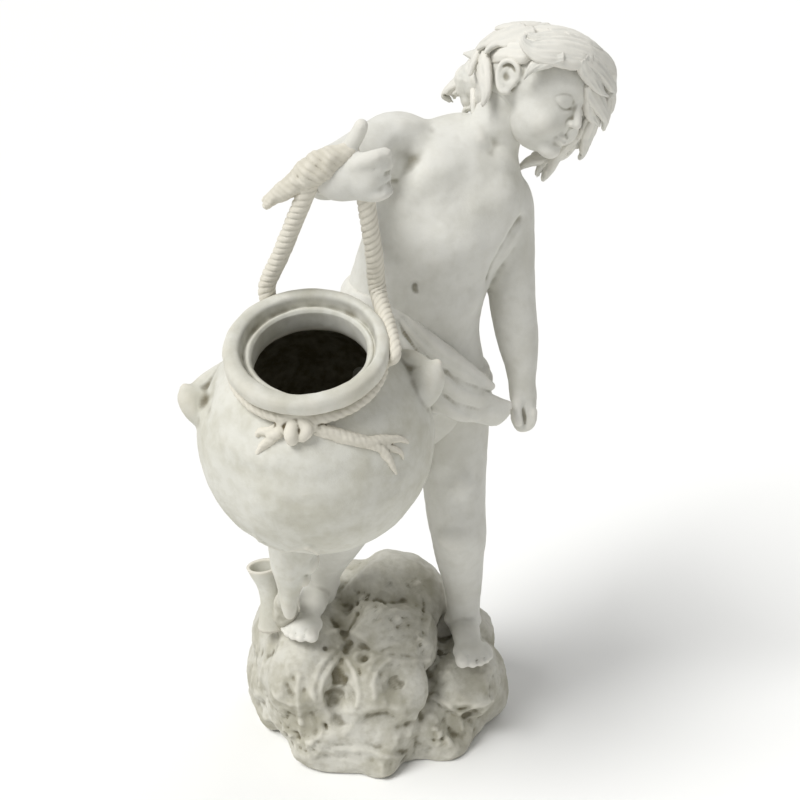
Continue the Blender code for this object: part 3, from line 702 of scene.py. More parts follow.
def child_head():
    base = fused("skull", head_forms(), 60)
    firm = [(0, -50, -20, 12, 0.6), (-48, 5, -2, 22, 0.3), (48, 5, -2, 22, 0.3)]
    head = fused("child_head", [base] + face_forms(), 7, firm)
    clay = Clay(head)
    for side in (-1, 1):
        clay.swell(clay.front(22 * side, -26), 17, 1.4)
        clay.swell(clay.front(14 * side, -40), 14, -0.8)
    clay.write()
    for side in (-1, 1):
        # a quiet eye, its lid half lowered, in a shallow socket
        clay.swell(clay.front(8 * side, -2), 8, -0.9)
        face_lines(clay, EYE_LINES, side)
        face_lines(clay, BROW_AND_NOSE, side)
        # the nostril, the mouth's corner and the ear's hollow and rim
        clay.swell(clay.front(2.8 * side, -20.6), 2.0, -0.5)
        clay.swell(clay.front(9.4 * side, -33.6), 3.4, -0.4)
        clay.swell((50 * side, 3.5, -3), 7, -1.6)
        clay.stroke([(47 * side, -1, 3), (49.5 * side, 5, 8), (50.5 * side, 11, 4)], 1.8, -0.9)
    face_lines(clay, MOUTH_LINES)
    clay.write()
    clay.relax(1)
    clay.roughen(0.2, 8)
    clay.write()
    # the head's place is in millimetres, and its mesh is in metres
    head.data.transform(Matrix.Scale(1000, 4))
    head.data.transform(head_matrix())
    head.data.transform(Matrix.Scale(MM, 4))
    return head


# The hair

def lock(points, width, thick, phase=0.0, sides=36, steps=7):
    """A carved lock: flat on the skull, cut with fine strand lines, and drawn out to a tip.

    Points are (x, y, z, share of the width). No primitive lies on the skull like this, so it is ringed.
    """
    run = eased(points, steps)
    path = run[:, :3]
    middle = np.array(head_matrix() @ SCALP)
    along = np.gradient(path, axis=0)
    along /= np.linalg.norm(along, axis=1)[:, None]
    outward = path - middle
    outward -= along * (outward * along).sum(1)[:, None]
    outward /= np.linalg.norm(outward, axis=1)[:, None]
    across = np.cross(along, outward)
    # the points lie on the lock's outer face
    path = path - outward * (thick * run[:, 3:4])
    angle = np.linspace(0, 2 * math.pi, sides, endpoint=False)
    u, v = np.cos(angle), np.sin(angle)
    rings = []
    for number, point in enumerate(path):
        share = number / (len(path) - 1)
        wave = 0.22 * math.sin(share * 5 + phase)
        off = (u * 2.2 + wave + phase) % 1 - 0.5
        strand = 1 - 0.24 * np.exp(-(off / 0.16) ** 2)
        size = max(run[number, 3], 0.03)
        half = width * size
        deep = thick * (0.3 + 0.7 * size) if size > 0.1 else thick * size
        swirl = 0.18 * math.sin(share * 3.4 + phase)
        rings.append(point + (u * half)[:, None] * across[number]
                     + ((v * strand + swirl * u) * deep)[:, None] * outward[number])
    return ringed("lock", rings)


def combed(clay):
    """Fine strand lines that run from the crown down over the hair behind the locks."""
    turned = np.array(head_matrix().to_3x3())
    crown = turned @ np.array([0.1, 0.45, 0.89])
    middle = np.array(head_matrix() @ SCALP)
    side = np.cross(crown, (0, 1, 0))
    side /= np.linalg.norm(side)
    front = np.cross(crown, side)
    away = clay.points - middle
    away /= np.linalg.norm(away, axis=1)[:, None]
    fall = np.arccos(np.clip(away @ crown, -1, 1))
    swing = np.arctan2(away @ front, away @ side)
    lines = np.empty(len(fall))
    for number, point in enumerate(clay.points):
        angle = swing[number] + 0.22 * noise.noise(Vector(point) / 26)
        place = Vector((math.cos(angle) * 9, math.sin(angle) * 9, fall[number] * 1.3))
        lines[number] = abs(noise.noise(place)) ** 0.7
    clay.points += clay.normals * (1.1 * (lines - 0.32))[:, None]


def on_scalp(azimuth, elevation, lift=0.0):
    """A point over the hair's round cap, in the frame; azimuth from the head's left, 270 its face."""
    azimuth = math.radians(azimuth)
    elevation = math.radians(elevation)
    outward = Vector((math.cos(elevation) * math.cos(azimuth), math.cos(elevation) * math.sin(azimuth),
                      math.sin(elevation)))
    return head_matrix() @ (SCALP + outward * (SCALP_RADII + Vector((lift, lift, lift))))


def swept(azimuth, elevation, length, lift, width, thick, bend, phase):
    """A lock that lies down the skull from a root and stands off at its tip."""
    points = []
    for step in range(6):
        t = step / 5
        fall = elevation - math.degrees(length * t / 50)
        swing = azimuth + bend * t + 9 * math.sin(t * 4.2 + phase)
        place = on_scalp(swing, fall, 4.0 + lift * t ** 1.7)
        points.append((*place, (0.7, 1.0, 1.0, 0.8, 0.45, 0.04)[step]))
    return lock(points, width, thick, phase, 32, 5)


# Locks placed one by one, their outer faces where the photograph shows the hair's outline:
# points (x, y, z, share of the width), half width, half thickness
PLACED_LOCKS = [
    # down the back of the head, from the crown to the nape
    ([(150, 4, 754, 0.7), (136, 0, 755, 1), (120, 8, 754, 0.9), (111, 15, 748, 0.5),
      (105, 20, 744, 0.04)], 12, 6),
    ([(148, -8, 752, 0.6), (135, -12, 750, 1), (124, -2, 747, 1), (115, 6, 744, 0.6),
      (106, 14, 742, 0.04)], 11, 6),
    ([(140, -40, 748, 0.6), (131, -34, 746, 1), (118, -20, 744, 1), (105, 2, 739, 1),
      (94, 18, 733, 0.6), (83, 28, 729, 0.04)], 13, 7),
    ([(124, -24, 736, 0.7), (116, -14, 735, 1), (104, 2, 731, 1), (95, 14, 727, 0.6),
      (88, 22, 724, 0.04)], 11, 6),
    ([(112, 6, 728, 0.7), (100, 22, 724, 1), (88, 34, 718, 1), (76, 42, 705, 1), (67, 45, 693, 0.7),
      (66, 44, 686, 0.4), (75, 40, 682, 0.04)], 13, 7),
    ([(112, 16, 716, 0.7), (95, 30, 710, 1), (83, 36, 701, 0.9), (74, 38, 691, 0.5),
      (77, 36, 686, 0.04)], 11, 6),
    ([(110, 12, 710, 0.7), (102, 20, 702, 1), (94, 24, 690, 0.9), (86, 28, 681, 0.5),
      (84, 30, 670, 0.04)], 10, 6),
    ([(112, 6, 706, 0.7), (108, 14, 698, 1), (101, 18, 686, 0.9), (94, 22, 678, 0.5),
      (90, 26, 671, 0.04)], 9, 5.5),
    # over the crown
    ([(126, 14, 756, 0.7), (142, 10, 758, 1), (160, 0, 759, 1), (178, -5, 756, 0.7),
      (191, -8, 749, 0.04)], 13, 6),
    ([(112, 22, 750, 0.6), (120, 18, 755, 1), (132, 14, 758, 1), (146, 10, 759, 0.7),
      (160, 6, 759, 0.04)], 12, 6),
    ([(158, -18, 756, 0.7), (170, -16, 756, 1), (184, -16, 753, 1), (195, -14, 747, 0.6),
      (206, -10, 738, 0.04)], 12, 6),
    # over the brow, with the upturned tip above the ear and the lock before it
    ([(192, -46, 736, 0.6), (181, -50, 742, 1), (162, -54, 746, 1), (147, -54, 747, 0.9),
      (137, -50, 749, 0.6), (131, -46, 754, 0.3), (135, -42, 758, 0.04)], 12, 6.5),
    ([(166, -56, 742, 0.6), (155, -55, 741, 1), (146, -55, 737, 0.9), (138, -53, 730, 0.5),
      (133, -50, 721, 0.04)], 8, 5),
    ([(182, -36, 748, 0.7), (171, -36, 753, 1), (156, -36, 755, 1), (144, -34, 755, 0.6),
      (134, -28, 757, 0.04)], 10, 6),
    ([(198, -40, 734, 0.6), (189, -42, 744, 1), (170, -44, 750, 1), (151, -44, 751, 0.7),
      (139, -42, 752, 0.04)], 10, 6),
    # the big waves down the far side of the face
    ([(160, -48, 750, 0.5), (171, -50, 747, 1), (189, -47, 740, 1), (203, -38, 729, 1),
      (214, -28, 714, 0.7), (218, -22, 705, 0.4), (214, -22, 698, 0.04)], 9, 6),
    ([(172, -26, 754, 0.7), (188, -22, 748, 1), (205, -14, 737, 1), (219, -5, 723, 0.9),
      (221, 0, 710, 0.5), (220, 0, 698, 0.04)], 13, 7),
    ([(186, -50, 740, 0.6), (190, -48, 733, 1), (197, -44, 722, 0.9), (203, -38, 710, 0.5),
      (210, -32, 702, 0.04)], 9, 6),
    ([(216, 4, 716, 0.7), (221, 4, 705, 1), (223, 4, 693, 0.9), (221, 4, 683, 0.5),
      (217, 4, 678, 0.04)], 12, 6),
    ([(194, -38, 716, 0.6), (200, -32, 707, 1), (208, -24, 694, 0.9), (214, -14, 679, 0.5),
      (212, -5, 665, 0.04)], 11, 6),
    ([(196, -32, 706, 0.6), (199, -28, 695, 1), (202, -20, 682, 0.7), (208, -10, 670, 0.04)], 9, 6),
    ([(219, 2, 703, 0.7), (220, 2, 693, 1), (219, 2, 681, 0.8), (216, 2, 670, 0.04)], 12, 6),
    ([(208, -12, 682, 0.7), (206, -8, 669, 1), (203, 0, 655, 0.9), (198, 5, 641, 0.5),
      (192, 5, 636, 0.04)], 11, 6),
    ([(202, -12, 680, 0.7), (201, -5, 666, 1), (193, 3, 654, 0.9), (186, 5, 644, 0.5),
      (181, 8, 639, 0.04)], 10, 6),
    ([(194, 0, 658, 0.7), (185, 5, 646, 1), (175, 10, 633, 1), (166, 10, 620, 0.6),
      (159, 10, 614, 0.04)], 12, 7),
    ([(186, 6, 650, 0.7), (177, 10, 639, 1), (166, 12, 629, 0.9), (158, 12, 623, 0.4),
      (155, 12, 617, 0.04)], 9, 6),
    ([(172, 12, 636, 0.7), (160, 14, 629, 1), (148, 15, 627, 0.8), (135, 15, 623, 0.04)], 9, 6),
]
# the hair's body behind those locks: centre and radii
HAIR_MASSES = [
    ((100, 24, 708), (18, 20, 22)),
    ((110, 18, 728), (18, 20, 18)),
    ((88, 32, 703), (13, 13, 17)),
    ((92, 30, 690), (11, 11, 15)),
    ((198, 8, 690), (20, 22, 28)),
    ((190, 14, 664), (17, 16, 20)),
    ((174, 18, 646), (15, 13, 15)),
    ((160, 20, 634), (12, 10, 9)),
]
# rows of locks over the rest of the skull:
# elevation, number, length, lift, half width, half thickness
HAIR_ROWS = [
    (76, 5, 40, 3, 14, 6),
    (52, 9, 44, 4, 13, 6),
    (28, 11, 44, 8, 12, 6.5),
    (4, 11, 40, 10, 11, 6.5),
    (-20, 10, 32, 10, 10.5, 6),
    (-40, 8, 24, 8, 9, 5.5),
]


def hair():
    head = head_matrix()
    cap = ball(0, 0, 0, (1, 1, 1))
    cap.matrix_world = (Matrix.Scale(MM, 4) @ head @ Matrix.Translation(SCALP)
                        @ Matrix.Diagonal((*(SCALP_RADII - Vector((2, 2, 2))), 1)))
    under = fused("hair_under", [cap] + [ball(*centre, radii) for centre, radii in HAIR_MASSES], 5)
    clay = Clay(under)
    combed(clay)
    clay.write()
    locks = []
    for row, (elevation, count, length, lift, width, thick) in enumerate(HAIR_ROWS):
        for number in range(count):
            azimuth = 360 * (number + 0.5 * (row % 2)) / count
            from_face = (azimuth - 270 + 180) % 360 - 180
            sway = math.sin(number * 2.4 + row * 1.7)
            # the face stays bare, and more of it on the side of the raised arm
            bare = 62 + 0.55 * (46 - elevation)
            if from_face < 0 and elevation < 30:
                bare = max(bare, 114)
            if abs(from_face) < bare and elevation < 60:
                continue
            locks.append(swept(azimuth, elevation, length, lift * (1 + 0.4 * sway), width, thick,
                               26 * sway, number * 1.9 + row))
    for number, (points, width, thick) in enumerate(PLACED_LOCKS):
        locks.append(lock(points, width, thick, number * 1.3))
    alone(under, *locks)
    bpy.ops.object.join()
    mass = bpy.context.object
    mass.name = mass.data.name = "child_hair"
    clay = Clay(mass)
    clay.roughen(0.5, 5)
    clay.write()
    return mass


# The cloth round the hips

# the hips' middle, and how far out the cloth may lie beside, behind and before it
HIP_MIDDLE = (38, 2)
HIP_SIDE = 76
HIP_BACK = 84
HIP_FRONT = 63
# the broad folds that sweep from the waist into the curl, and the pointed flap above it
BROAD_FOLDS = [
    [(2, -48, 515, 5), (20, -54, 504, 7.5), (44, -58, 484, 10), (64, -59, 465, 12),
     (84, -54, 446, 12), (100, -46, 433, 9), (115, -41, 424, 4)],
    [(12, -56, 494, 5), (34, -62, 472, 8), (52, -63, 453, 11), (72, -60, 434, 13),
     (96, -51, 417, 11.5), (116, -42, 409, 6)],
    [(28, -64, 466, 5), (46, -64, 443, 9), (62, -61, 422, 12), (84, -54, 405, 12),
     (106, -46, 396, 8)],
]
# creases between and beside them: pixels, width, height and crest
CLOTH_LINES = [
    ([(396, 311), (412, 326), (430, 346), (446, 360), (464, 370), (484, 382)], 5.5, -0.9, 1.3),
    ([(446, 372), (458, 384), (470, 391), (484, 394)], 5.0, -1.0, 1.3),
    ([(404, 318), (420, 338), (432, 352)], 3.4, -1.6, 1.3),
    ([(398, 322), (410, 342), (420, 356)], 3.4, -1.6, 1.3),
    ([(446, 396), (460, 410), (476, 418)], 5.5, -0.9, 1.3),
]


def hip_cloth(body, legs):
    """A cloth wound round the hips: wrapped over the skin below it, then folded and hemmed."""
    trees = [Clay(piece).skin() for piece in (body, legs)]
    angles = np.linspace(-math.pi, math.pi, 200, endpoint=False)
    levels = np.linspace(0, 1, 64)
    heights = np.empty((len(levels), len(angles)))
    reach = np.empty_like(heights)
    for column, angle in enumerate(angles):
        out = np.array([math.cos(angle), math.sin(angle), 0])
        # no further out than the hips, so that the hanging arm stays free
        furthest = 1 / math.hypot(out[0] / HIP_SIDE, out[1] / (HIP_BACK if out[1] > 0 else HIP_FRONT))
        x = HIP_MIDDLE[0] + (HIP_SIDE - 2) * out[0]
        top = min(524 - 0.86 * x, 520)
        front = max(-out[1], 0)
        shown = math.exp(-((x - 92) / 34) ** 2) * min(front * 1.6, 1)
        hem = 382 + 22 * shown - 6 * max(out[1], 0)
        for row, level in enumerate(levels):
            height = top + (hem - top) * level
            start = np.array([*HIP_MIDDLE, height]) + out * furthest
            found = [tree.ray_cast(Vector(start), Vector(-out), furthest - 4)[3] for tree in trees]
            found = [furthest - distance for distance in found if distance is not None]
            heights[row, column] = height
            reach[row, column] = max(found) if found else 55
    for step in range(14):
        spread = (np.roll(reach, 1, 1) + np.roll(reach, -1, 1)) / 2
        spread[1:-1] = (spread[1:-1] + (reach[2:] + reach[:-2]) / 2) / 2
        reach = np.maximum(reach, spread)
    for step in range(6):
        reach = (reach + np.roll(reach, 1, 1) + np.roll(reach, -1, 1)) / 3
    rings = []
    out = np.stack([np.cos(angles), np.sin(angles), np.zeros(len(angles))], 1)
    for row, level in enumerate(levels):
        drift = 0.07 * np.sin(2 * angles + 0.8) + 0.03 * np.sin(5 * angles)
        wave = np.abs(np.sin(math.pi * 3.4 * (level ** 0.85 + drift))) ** 0.8
        fine = np.abs(np.sin(math.pi * 7.1 * (level + 0.8 * drift) + 0.5)) ** 0.8
        swell = 2.4 + 3.4 * wave + 1.3 * fine
        if level < 0.06:
            swell = swell * (0.35 + level / 0.06 * 0.65)
        if level > 0.96:
            swell = swell + 1.2
        ring = np.array([*HIP_MIDDLE, 0]) + out * (reach[row] + swell)[:, None]
        ring[:, 2] = heights[row]
        rings.append(ring)
    for row in (-1, len(levels) // 2, 0):
        ring = np.array([*HIP_MIDDLE, 0]) + out * (reach[row] - 7)[:, None]
        ring[:, 2] = heights[row] + (1.5 if row == -1 else 0)
        rings.append(ring)
    forms = [ringed("wrap", rings), curled_end()]
    forms += [limb(fold) for fold in BROAD_FOLDS]
    cloth = fused("hip_cloth", forms, 4)
    clay = Clay(cloth)
    clay.drawings(CLOTH_LINES)
    clay.write()
    clay.roughen(0.7, 14)
    clay.write()
    return cloth


def curled_end():
    """The loose end of the cloth, rolled into an open cone beside the hanging fist."""
    start = np.array([60, -60, 424.0])
    end = np.array([126, -38, 391.0])
    axis = (end - start) / np.linalg.norm(end - start)
    side = np.cross(axis, (0, 0, 1))
    side /= np.linalg.norm(side)
    up = np.cross(side, axis)
    angle = np.linspace(0, 2 * math.pi, 56, endpoint=False)
    length = np.linalg.norm(end - start)

    def ring(t, wall):
        """One turn of the cone: longest above, and broad where it leaves the hip."""
        wide = 8.5 + 2.5 * t - wall
        tall = 19 - 4 * t - wall
        wave = 1 + 0.10 * np.sin(3 * angle + 2) * t
        slant = 5 * np.sin(angle)
        return (start + (t * (length + slant * t))[:, None] * axis
                + (np.cos(angle) * wide * wave)[:, None] * side
                + (np.sin(angle) * tall * wave)[:, None] * up)

    rings = [ring(t, 0) for t in np.linspace(0, 1, 16)]
    rings += [ring(t, 2.8) for t in np.linspace(1, 0.3, 12)]
    return ringed("curled_end", rings)


# The pot

def pot_frame():
    return (Matrix.Translation(POT_MOUTH) @ Matrix.Rotation(-POT_LEAN, 4, "Y")
            @ Matrix.Rotation(POT_TILT, 4, "X") @ Matrix.Translation((0, 0, -LIP_TOP)))


def round_pot(azimuth, radius, height):
    angle = math.radians(azimuth)
    return pot_frame() @ Vector((radius * math.cos(angle), radius * math.sin(angle), height))


def arc(radius, first, last, steps):
    angles = np.radians(np.linspace(first, last, steps + 1))
    return [(radius * math.sin(angle), radius * math.cos(angle)) for angle in angles]


def thrown(name, profile, steps, ring=False):
    """A body turned on the wheel from a profile of (radius, height)."""
    alone()
    bpy.ops.mesh.primitive_plane_add(size=1)
    body = bpy.context.object
    body.name = body.data.name = name
    bpy.ops.object.mode_set(mode="EDIT")
    bpy.ops.mesh.select_all(action="SELECT")
    bpy.ops.mesh.delete(type="VERT")
    bpy.ops.object.mode_set(mode="OBJECT")
    count = len(profile)
    edges = [(number, number + 1) for number in range(count - 1)]
    if ring:
        edges.append((count - 1, 0))
    body.data.from_pydata([(radius * MM, 0, height * MM) for radius, height in profile], edges, [])
    screw = body.modifiers.new("Wheel", "SCREW")
    screw.steps = screw.render_steps = steps
    screw.use_merge_vertices = True
    screw.merge_threshold = 0.00001
    screw.use_normal_calculate = True
    applied(body)
    bpy.ops.object.mode_set(mode="EDIT")
    bpy.ops.mesh.select_all(action="SELECT")
    bpy.ops.mesh.normals_make_consistent(inside=False)
    bpy.ops.object.mode_set(mode="OBJECT")
    place = pot_frame()
    place.translation *= MM
    body.data.transform(place)
    return body


# flatter and fuller places of the wall: (x, y, reach, height) in the photograph
POT_PLACES = [(208, 398, 18, -4), (206, 412, 14, -3), (236, 492, 46, -3.5), (262, 470, 60, 1.5)]
# the scalloped edge above the hanging end
POT_EDGE = [
    ([(256, 536), (266, 546), (280, 551), (296, 549), (308, 546)], 6, 2.0, 1.4),
    ([(308, 546), (316, 552), (322, 560)], 6, 2.0, 1.4),
    ([(318, 560), (340, 557), (362, 550), (384, 538)], 7, 1.6, 1.4),
]
# turning marks
POT_TURNING = [
    ([(236, 470), (262, 478), (300, 482), (350, 480), (400, 468)], 14, -1.2),
    ([(226, 440), (250, 456), (270, 462)], 12, 1.2),
    ([(258, 506), (300, 516), (350, 514), (392, 500)], 14, 1.2),
]


def pot_body():
    """The round body with its lugs pinched out of it, cut open above and hollow."""
    outer = thrown("pot_body", [(0, POT_RADIUS)] + arc(POT_RADIUS, 4, 150, 60)
                   + [(36, -POT_RADIUS - 3), (0, -POT_RADIUS - 3)], 96)
    forms = [
        outer,
        ball(-155, -138, 446, (14, 16, 25), (0, -42, 0)),
        limb([(-149, -138, 448, 15), (-161, -136, 459, 10), (-168, -134, 465, 5)]),
        limb([(-160, -130, 460, 7), (-147, -122, 467, 9), (-133, -116, 474, 8)]),
        ball(44, -138, 465, (17, 18, 27), (0, 36, 0)),
        limb([(40, -138, 468, 17), (52, -136, 481, 11), (58, -134, 488, 5.5)]),
        limb([(50, -132, 483, 8), (37, -126, 486, 11), (24, -120, 486, 10)]),
    ]
    body = fused("pot_body", forms, 7)
    clay = Clay(body)
    clay.swells(POT_PLACES)
    clay.write()
    # the two dark recesses low on the left
    clay.press((-124, -152, 337), (7, 10, 6), 30)
    clay.press((-114, -156, 326), (7, 10, 5), 30)
    for lines in (POT_EDGE, POT_TURNING):
        clay.drawings(lines)
        clay.write()
    # the hand-worked unevenness of the wall
    clay.roughen(1.2, 34)
    clay.roughen(0.35, 9)
    clay.write()
    inner = POT_RADIUS - POT_WALL
    neck = POT_NECK_RADIUS - 5
    shoulder = math.degrees(math.asin(neck / inner))
    cavity = thrown("cavity", [(0, LIP_TOP + 20), (neck, LIP_TOP + 20)]
                    + arc(inner, shoulder, 180, 60)[:-1] + [(0, -inner)], 96)
    cut = body.modifiers.new("Hollow", "BOOLEAN")
    cut.operation = "DIFFERENCE"
    cut.solver = "EXACT"
    cut.object = cavity
    applied(body)
    bpy.data.objects.remove(cavity)
    return body


def pot_lip():
    """The rounded lip with its neck, and inside it the step down to the raised ring round the bore."""
    top = LIP_TOP
    profile = [
        (POT_NECK_RADIUS - 1, SHOULDER_HEIGHT - 4),
        (POT_NECK_RADIUS, SHOULDER_HEIGHT + 4),
        (POT_NECK_RADIUS + 0.6, top - POT_LIP_HEIGHT - 2.5),
        (POT_NECK_RADIUS + 3, top - POT_LIP_HEIGHT),
        (POT_LIP_RADIUS - 2.4, top - POT_LIP_HEIGHT + 1.6),
        (POT_LIP_RADIUS - 0.4, top - POT_LIP_HEIGHT + 4.6),
        (POT_LIP_RADIUS, top - 9.0),
        (POT_LIP_RADIUS - 0.6, top - 5),
        (POT_LIP_RADIUS - 2.8, top - 1.6),
        (POT_LIP_RADIUS - 7, top),
        (POT_LIP_RADIUS - 11, top - 0.7),
        (POT_LIP_RADIUS - 13.0, top - 3),
        (POT_LIP_RADIUS - 13.8, top - 7),
        (POT_LIP_RADIUS - 14.6, top - 11.4),
        (POT_MOUTH_RADIUS + 6.0, top - 12.4),
        (POT_MOUTH_RADIUS + 4.6, top - 10.8),
        (POT_MOUTH_RADIUS + 2.6, top - 10.6),
        (POT_MOUTH_RADIUS + 0.8, top - 12.4),
        (POT_MOUTH_RADIUS, top - 15),
        (POT_MOUTH_RADIUS, SHOULDER_HEIGHT + 4),
        (POT_MOUTH_RADIUS + 1.5, SHOULDER_HEIGHT - 4),
    ]
    run = eased(profile, 4)
    lip = thrown("pot_lip", [tuple(point) for point in run], 120, ring=True)
    clay = Clay(lip)
    # worked by hand, the bore stands a little off the lip's middle
    middle = np.array(pot_frame().translation)
    axis = np.array(pot_frame().to_3x3() @ Vector((0, 0, 1)))
    away = clay.points - middle
    away -= (away @ axis)[:, None] * axis
    inside = np.clip((POT_LIP_RADIUS - 9 - np.linalg.norm(away, axis=1)) / 6, 0, 1)
    clay.points[:, 0] += BORE_SHIFT * inside
    clay.write()
    clay.roughen(1.3, 26)
    clay.roughen(0.35, 8)
    clay.write()
    return lip


def on_round(x, y, lift=0.0):
    """Where a point of the photograph falls on the pot's round body."""
    middle = np.array(pot_frame().translation)
    ray = sight(x, y)
    ray /= np.linalg.norm(ray)
    near = (middle - EYE) @ ray
    miss = np.linalg.norm(middle - EYE - near * ray)
    radius = POT_RADIUS + lift
    return EYE + ray * (near - math.sqrt(max(radius ** 2 - miss ** 2, 0)))


# The knot in front, one turn over the top and two that come down through it:
# (x, y, height over the wall, radius), where the photograph shows them
KNOT_TURNS = [
    [(281, 424, 3, 5), (288, 416, 6, 6.2), (299, 414, 7, 6.4), (309, 418, 5, 6), (313, 427, 3, 5.5)],
    [(302, 421, 7, 5.4), (307, 430, 7, 5.8), (302, 437, 4, 5)],
    [(293, 424, 7, 5.4), (291, 434, 7.5, 6.2), (292, 440, 5, 5.4)],
    [(283, 428, 3, 4.6), (277, 433, 3, 5), (270, 436, 2, 4)],
]
# The frayed tails: (x, y, radius) along each, its height over the wall, and its fray
TAILS = [
    ([(282, 430, 4.6), (272, 438, 4.6), (263, 446, 3.6), (256, 454, 1.6)], 1, 0.2),
    ([(281, 427, 4.2), (270, 431, 4.2), (260, 432, 3.4), (256, 437, 1.6)], 1, 0.2),
    ([(312, 426, 5), (330, 431, 5.2), (348, 437, 5.2), (366, 441, 5), (384, 440, 4.4), (400, 439, 3),
      (409, 443, 1.4)], 1, 0.16),
    ([(314, 431, 3.4), (332, 436, 4), (350, 441, 4), (368, 445, 3)], 0, 0.2),
    ([(366, 443, 4.4), (380, 448, 4.4), (388, 458, 3.8), (393, 467, 2.6), (397, 475, 1.2)], 1, 0.2),
    ([(372, 443, 3.6), (388, 447, 3.4), (400, 452, 2.4), (404, 460, 1.0)], 0.5, 0.2),
]


def neck_rope():
    """The rope tied round the neck, its knot in front and its frayed tails over the round body."""
    ring = [(*round_pot(azimuth, POT_NECK_RADIUS + ROPE_RADIUS * 0.45, NECK_ROPE_HEIGHT - 1), 5.6)
            for azimuth in range(-90, 271, 15)]
    parts = [twisted("ring", ring, 20, 3, 0.24)]
    for turn in KNOT_TURNS:
        parts.append(limb([(*on_round(x, y, lift), radius) for x, y, lift, radius in turn]))
    for run, lift, fray in TAILS:
        points = [(*on_round(x, y, lift), radius) for x, y, radius in run]
        parts.append(twisted("strand", points, 17, 3, 0.26, fray=fray))
    return fused("pot_neck_rope", parts, 1)


# The end wound over the wrist, and the two yarns that it frays into: (x, y, z, radius)
WRAP = [
    (-9, -143, 684, 4.5), (-20, -145, 680, 8.5), (-32, -146, 674, 12), (-44, -146, 667, 13.5),
    (-55, -142, 658, 11.5), (-66, -139, 650, 9), (-76, -135, 643, 7.5), (-84, -132, 637, 5.5),
]
YARNS = [
    [(-78, -136, 642, 5.5), (-86, -133, 634, 4.2), (-90, -132, 630, 2.6)],
    [(-80, -131, 641, 4), (-87, -128, 637, 3.2), (-91, -127, 634, 2)],
]
# Where the two strands come to the lip and the neck, as angles round the pot
LEFT_STRAND = 118
RIGHT_STRAND = -4


def bail_ropes():
    """The two strands from the neck to the fist, and the end wound over the wrist."""
    radius = ROPE_RADIUS
    left_neck = round_pot(LEFT_STRAND, POT_NECK_RADIUS + radius * 0.6, NECK_ROPE_HEIGHT)
    left_lip = round_pot(LEFT_STRAND, POT_LIP_RADIUS + radius * 0.8, LIP_TOP)
    right_neck = round_pot(RIGHT_STRAND, POT_NECK_RADIUS + radius * 0.6, NECK_ROPE_HEIGHT)
    right_lip = round_pot(RIGHT_STRAND, POT_LIP_RADIUS + radius * 0.55, LIP_TOP - POT_LIP_HEIGHT * 0.5)
    left = [(-44, -140, 666, radius), (-52, -142, 648, radius)]
    start = Vector(left[-1][:3])
    for share in (1 / 3, 2 / 3, 1):
        left.append((*start.lerp(left_lip, share), radius))
    left.append((*left_neck, radius))
    right = [(-4, -140, 660, radius), (-3, -140, 636, radius), (2.5, -128, 590.5, radius),
             (6, -117, 548, radius), (*right_lip, radius * 0.7), (*right_neck, radius * 0.45)]
    ropes = [
        twisted("bail_rope_left", left),
        twisted("bail_rope_right", right),
    ]
    wrap = [twisted("wrap", WRAP, 26, 5, 0.10, fray=0.1)]
    wrap += [twisted("wrap", yarn, 14, 3, 0.2, fray=0.25) for yarn in YARNS]
    ropes.append(fused("wrist_wrap", wrap, 1))
    return ropes


# The rock

# The boulders that the rock is piled from: centre and radii
ROCK_HUMPS = [
    ((-2, 0, 30), (132, 103.5, 66)),
    ((-62, -12, 62), (70, 92, 82)),
    ((74, 10, 38), (72, 68, 58)),
    ((-76, -46, 98), (52, 62, 52)),
    ((-98, 10, 100), (42, 62, 48)),
    ((16, 39, 110), (66, 57, 68)),
    ((-30, 55, 96), (62, 43, 66)),
    ((95, -18, 62), (43, 62, 35)),
    ((97, 46, 62), (37, 42, 50)),
    ((-24, -64, 30), (76, 56, 46)),
    ((-4, -70, 84), (60, 38, 48)),
    ((14, -20, 112), (54, 52, 44)),
    ((-118, 8, 40), (28, 66, 56)),
    ((68, -58, 16), (38, 34, 34)),
    ((112, 6, 26), (36, 44, 34)),
    ((4, -84, 16), (34, 38, 24)),
    ((-48, -74, 18), (50, 40, 30)),
]


def rock():
    forms = []
    for number, (centre, radii) in enumerate(ROCK_HUMPS):
        forms.append(ball(*centre, radii, (7 * math.sin(number), 9 * math.cos(2.3 * number), 0)))
    # the web of stone that carries the hanging end
    forms.append(limb([(-87, -93, 244, 8), (-90, -80, 214, 9), (-94, -62, 184, 12), (-97, -46, 150, 16)]))
    stone = fused("rock", forms, 9)
    # a flat underside
    alone(stone)
    bpy.ops.object.mode_set(mode="EDIT")
    bpy.ops.mesh.select_all(action="SELECT")
    bpy.ops.mesh.bisect(plane_co=(0, 0, 0), plane_no=(0, 0, 1), clear_inner=True, use_fill=True)
    bpy.ops.object.mode_set(mode="OBJECT")
    clay = Clay(stone)
    clay.swell((44, -104, 20), 34, -9)
    clay.write()
    ground = np.clip(clay.points[:, 2] / 6, 0, 1)
    crag = np.array([noise.ridged_multi_fractal(Vector(point) / 52, 0.9, 2.1, 4, 1.0, 2.0)
                     for point in clay.points])
    clay.points += clay.normals * ((3.0 * (crag - crag.mean())) * ground)[:, None]
    clay.write()
    chiselled(clay)
    rock_marks(clay)
    clay.points[:, 2] = np.maximum(clay.points[:, 2], 0)
    clay.write()
    return stone


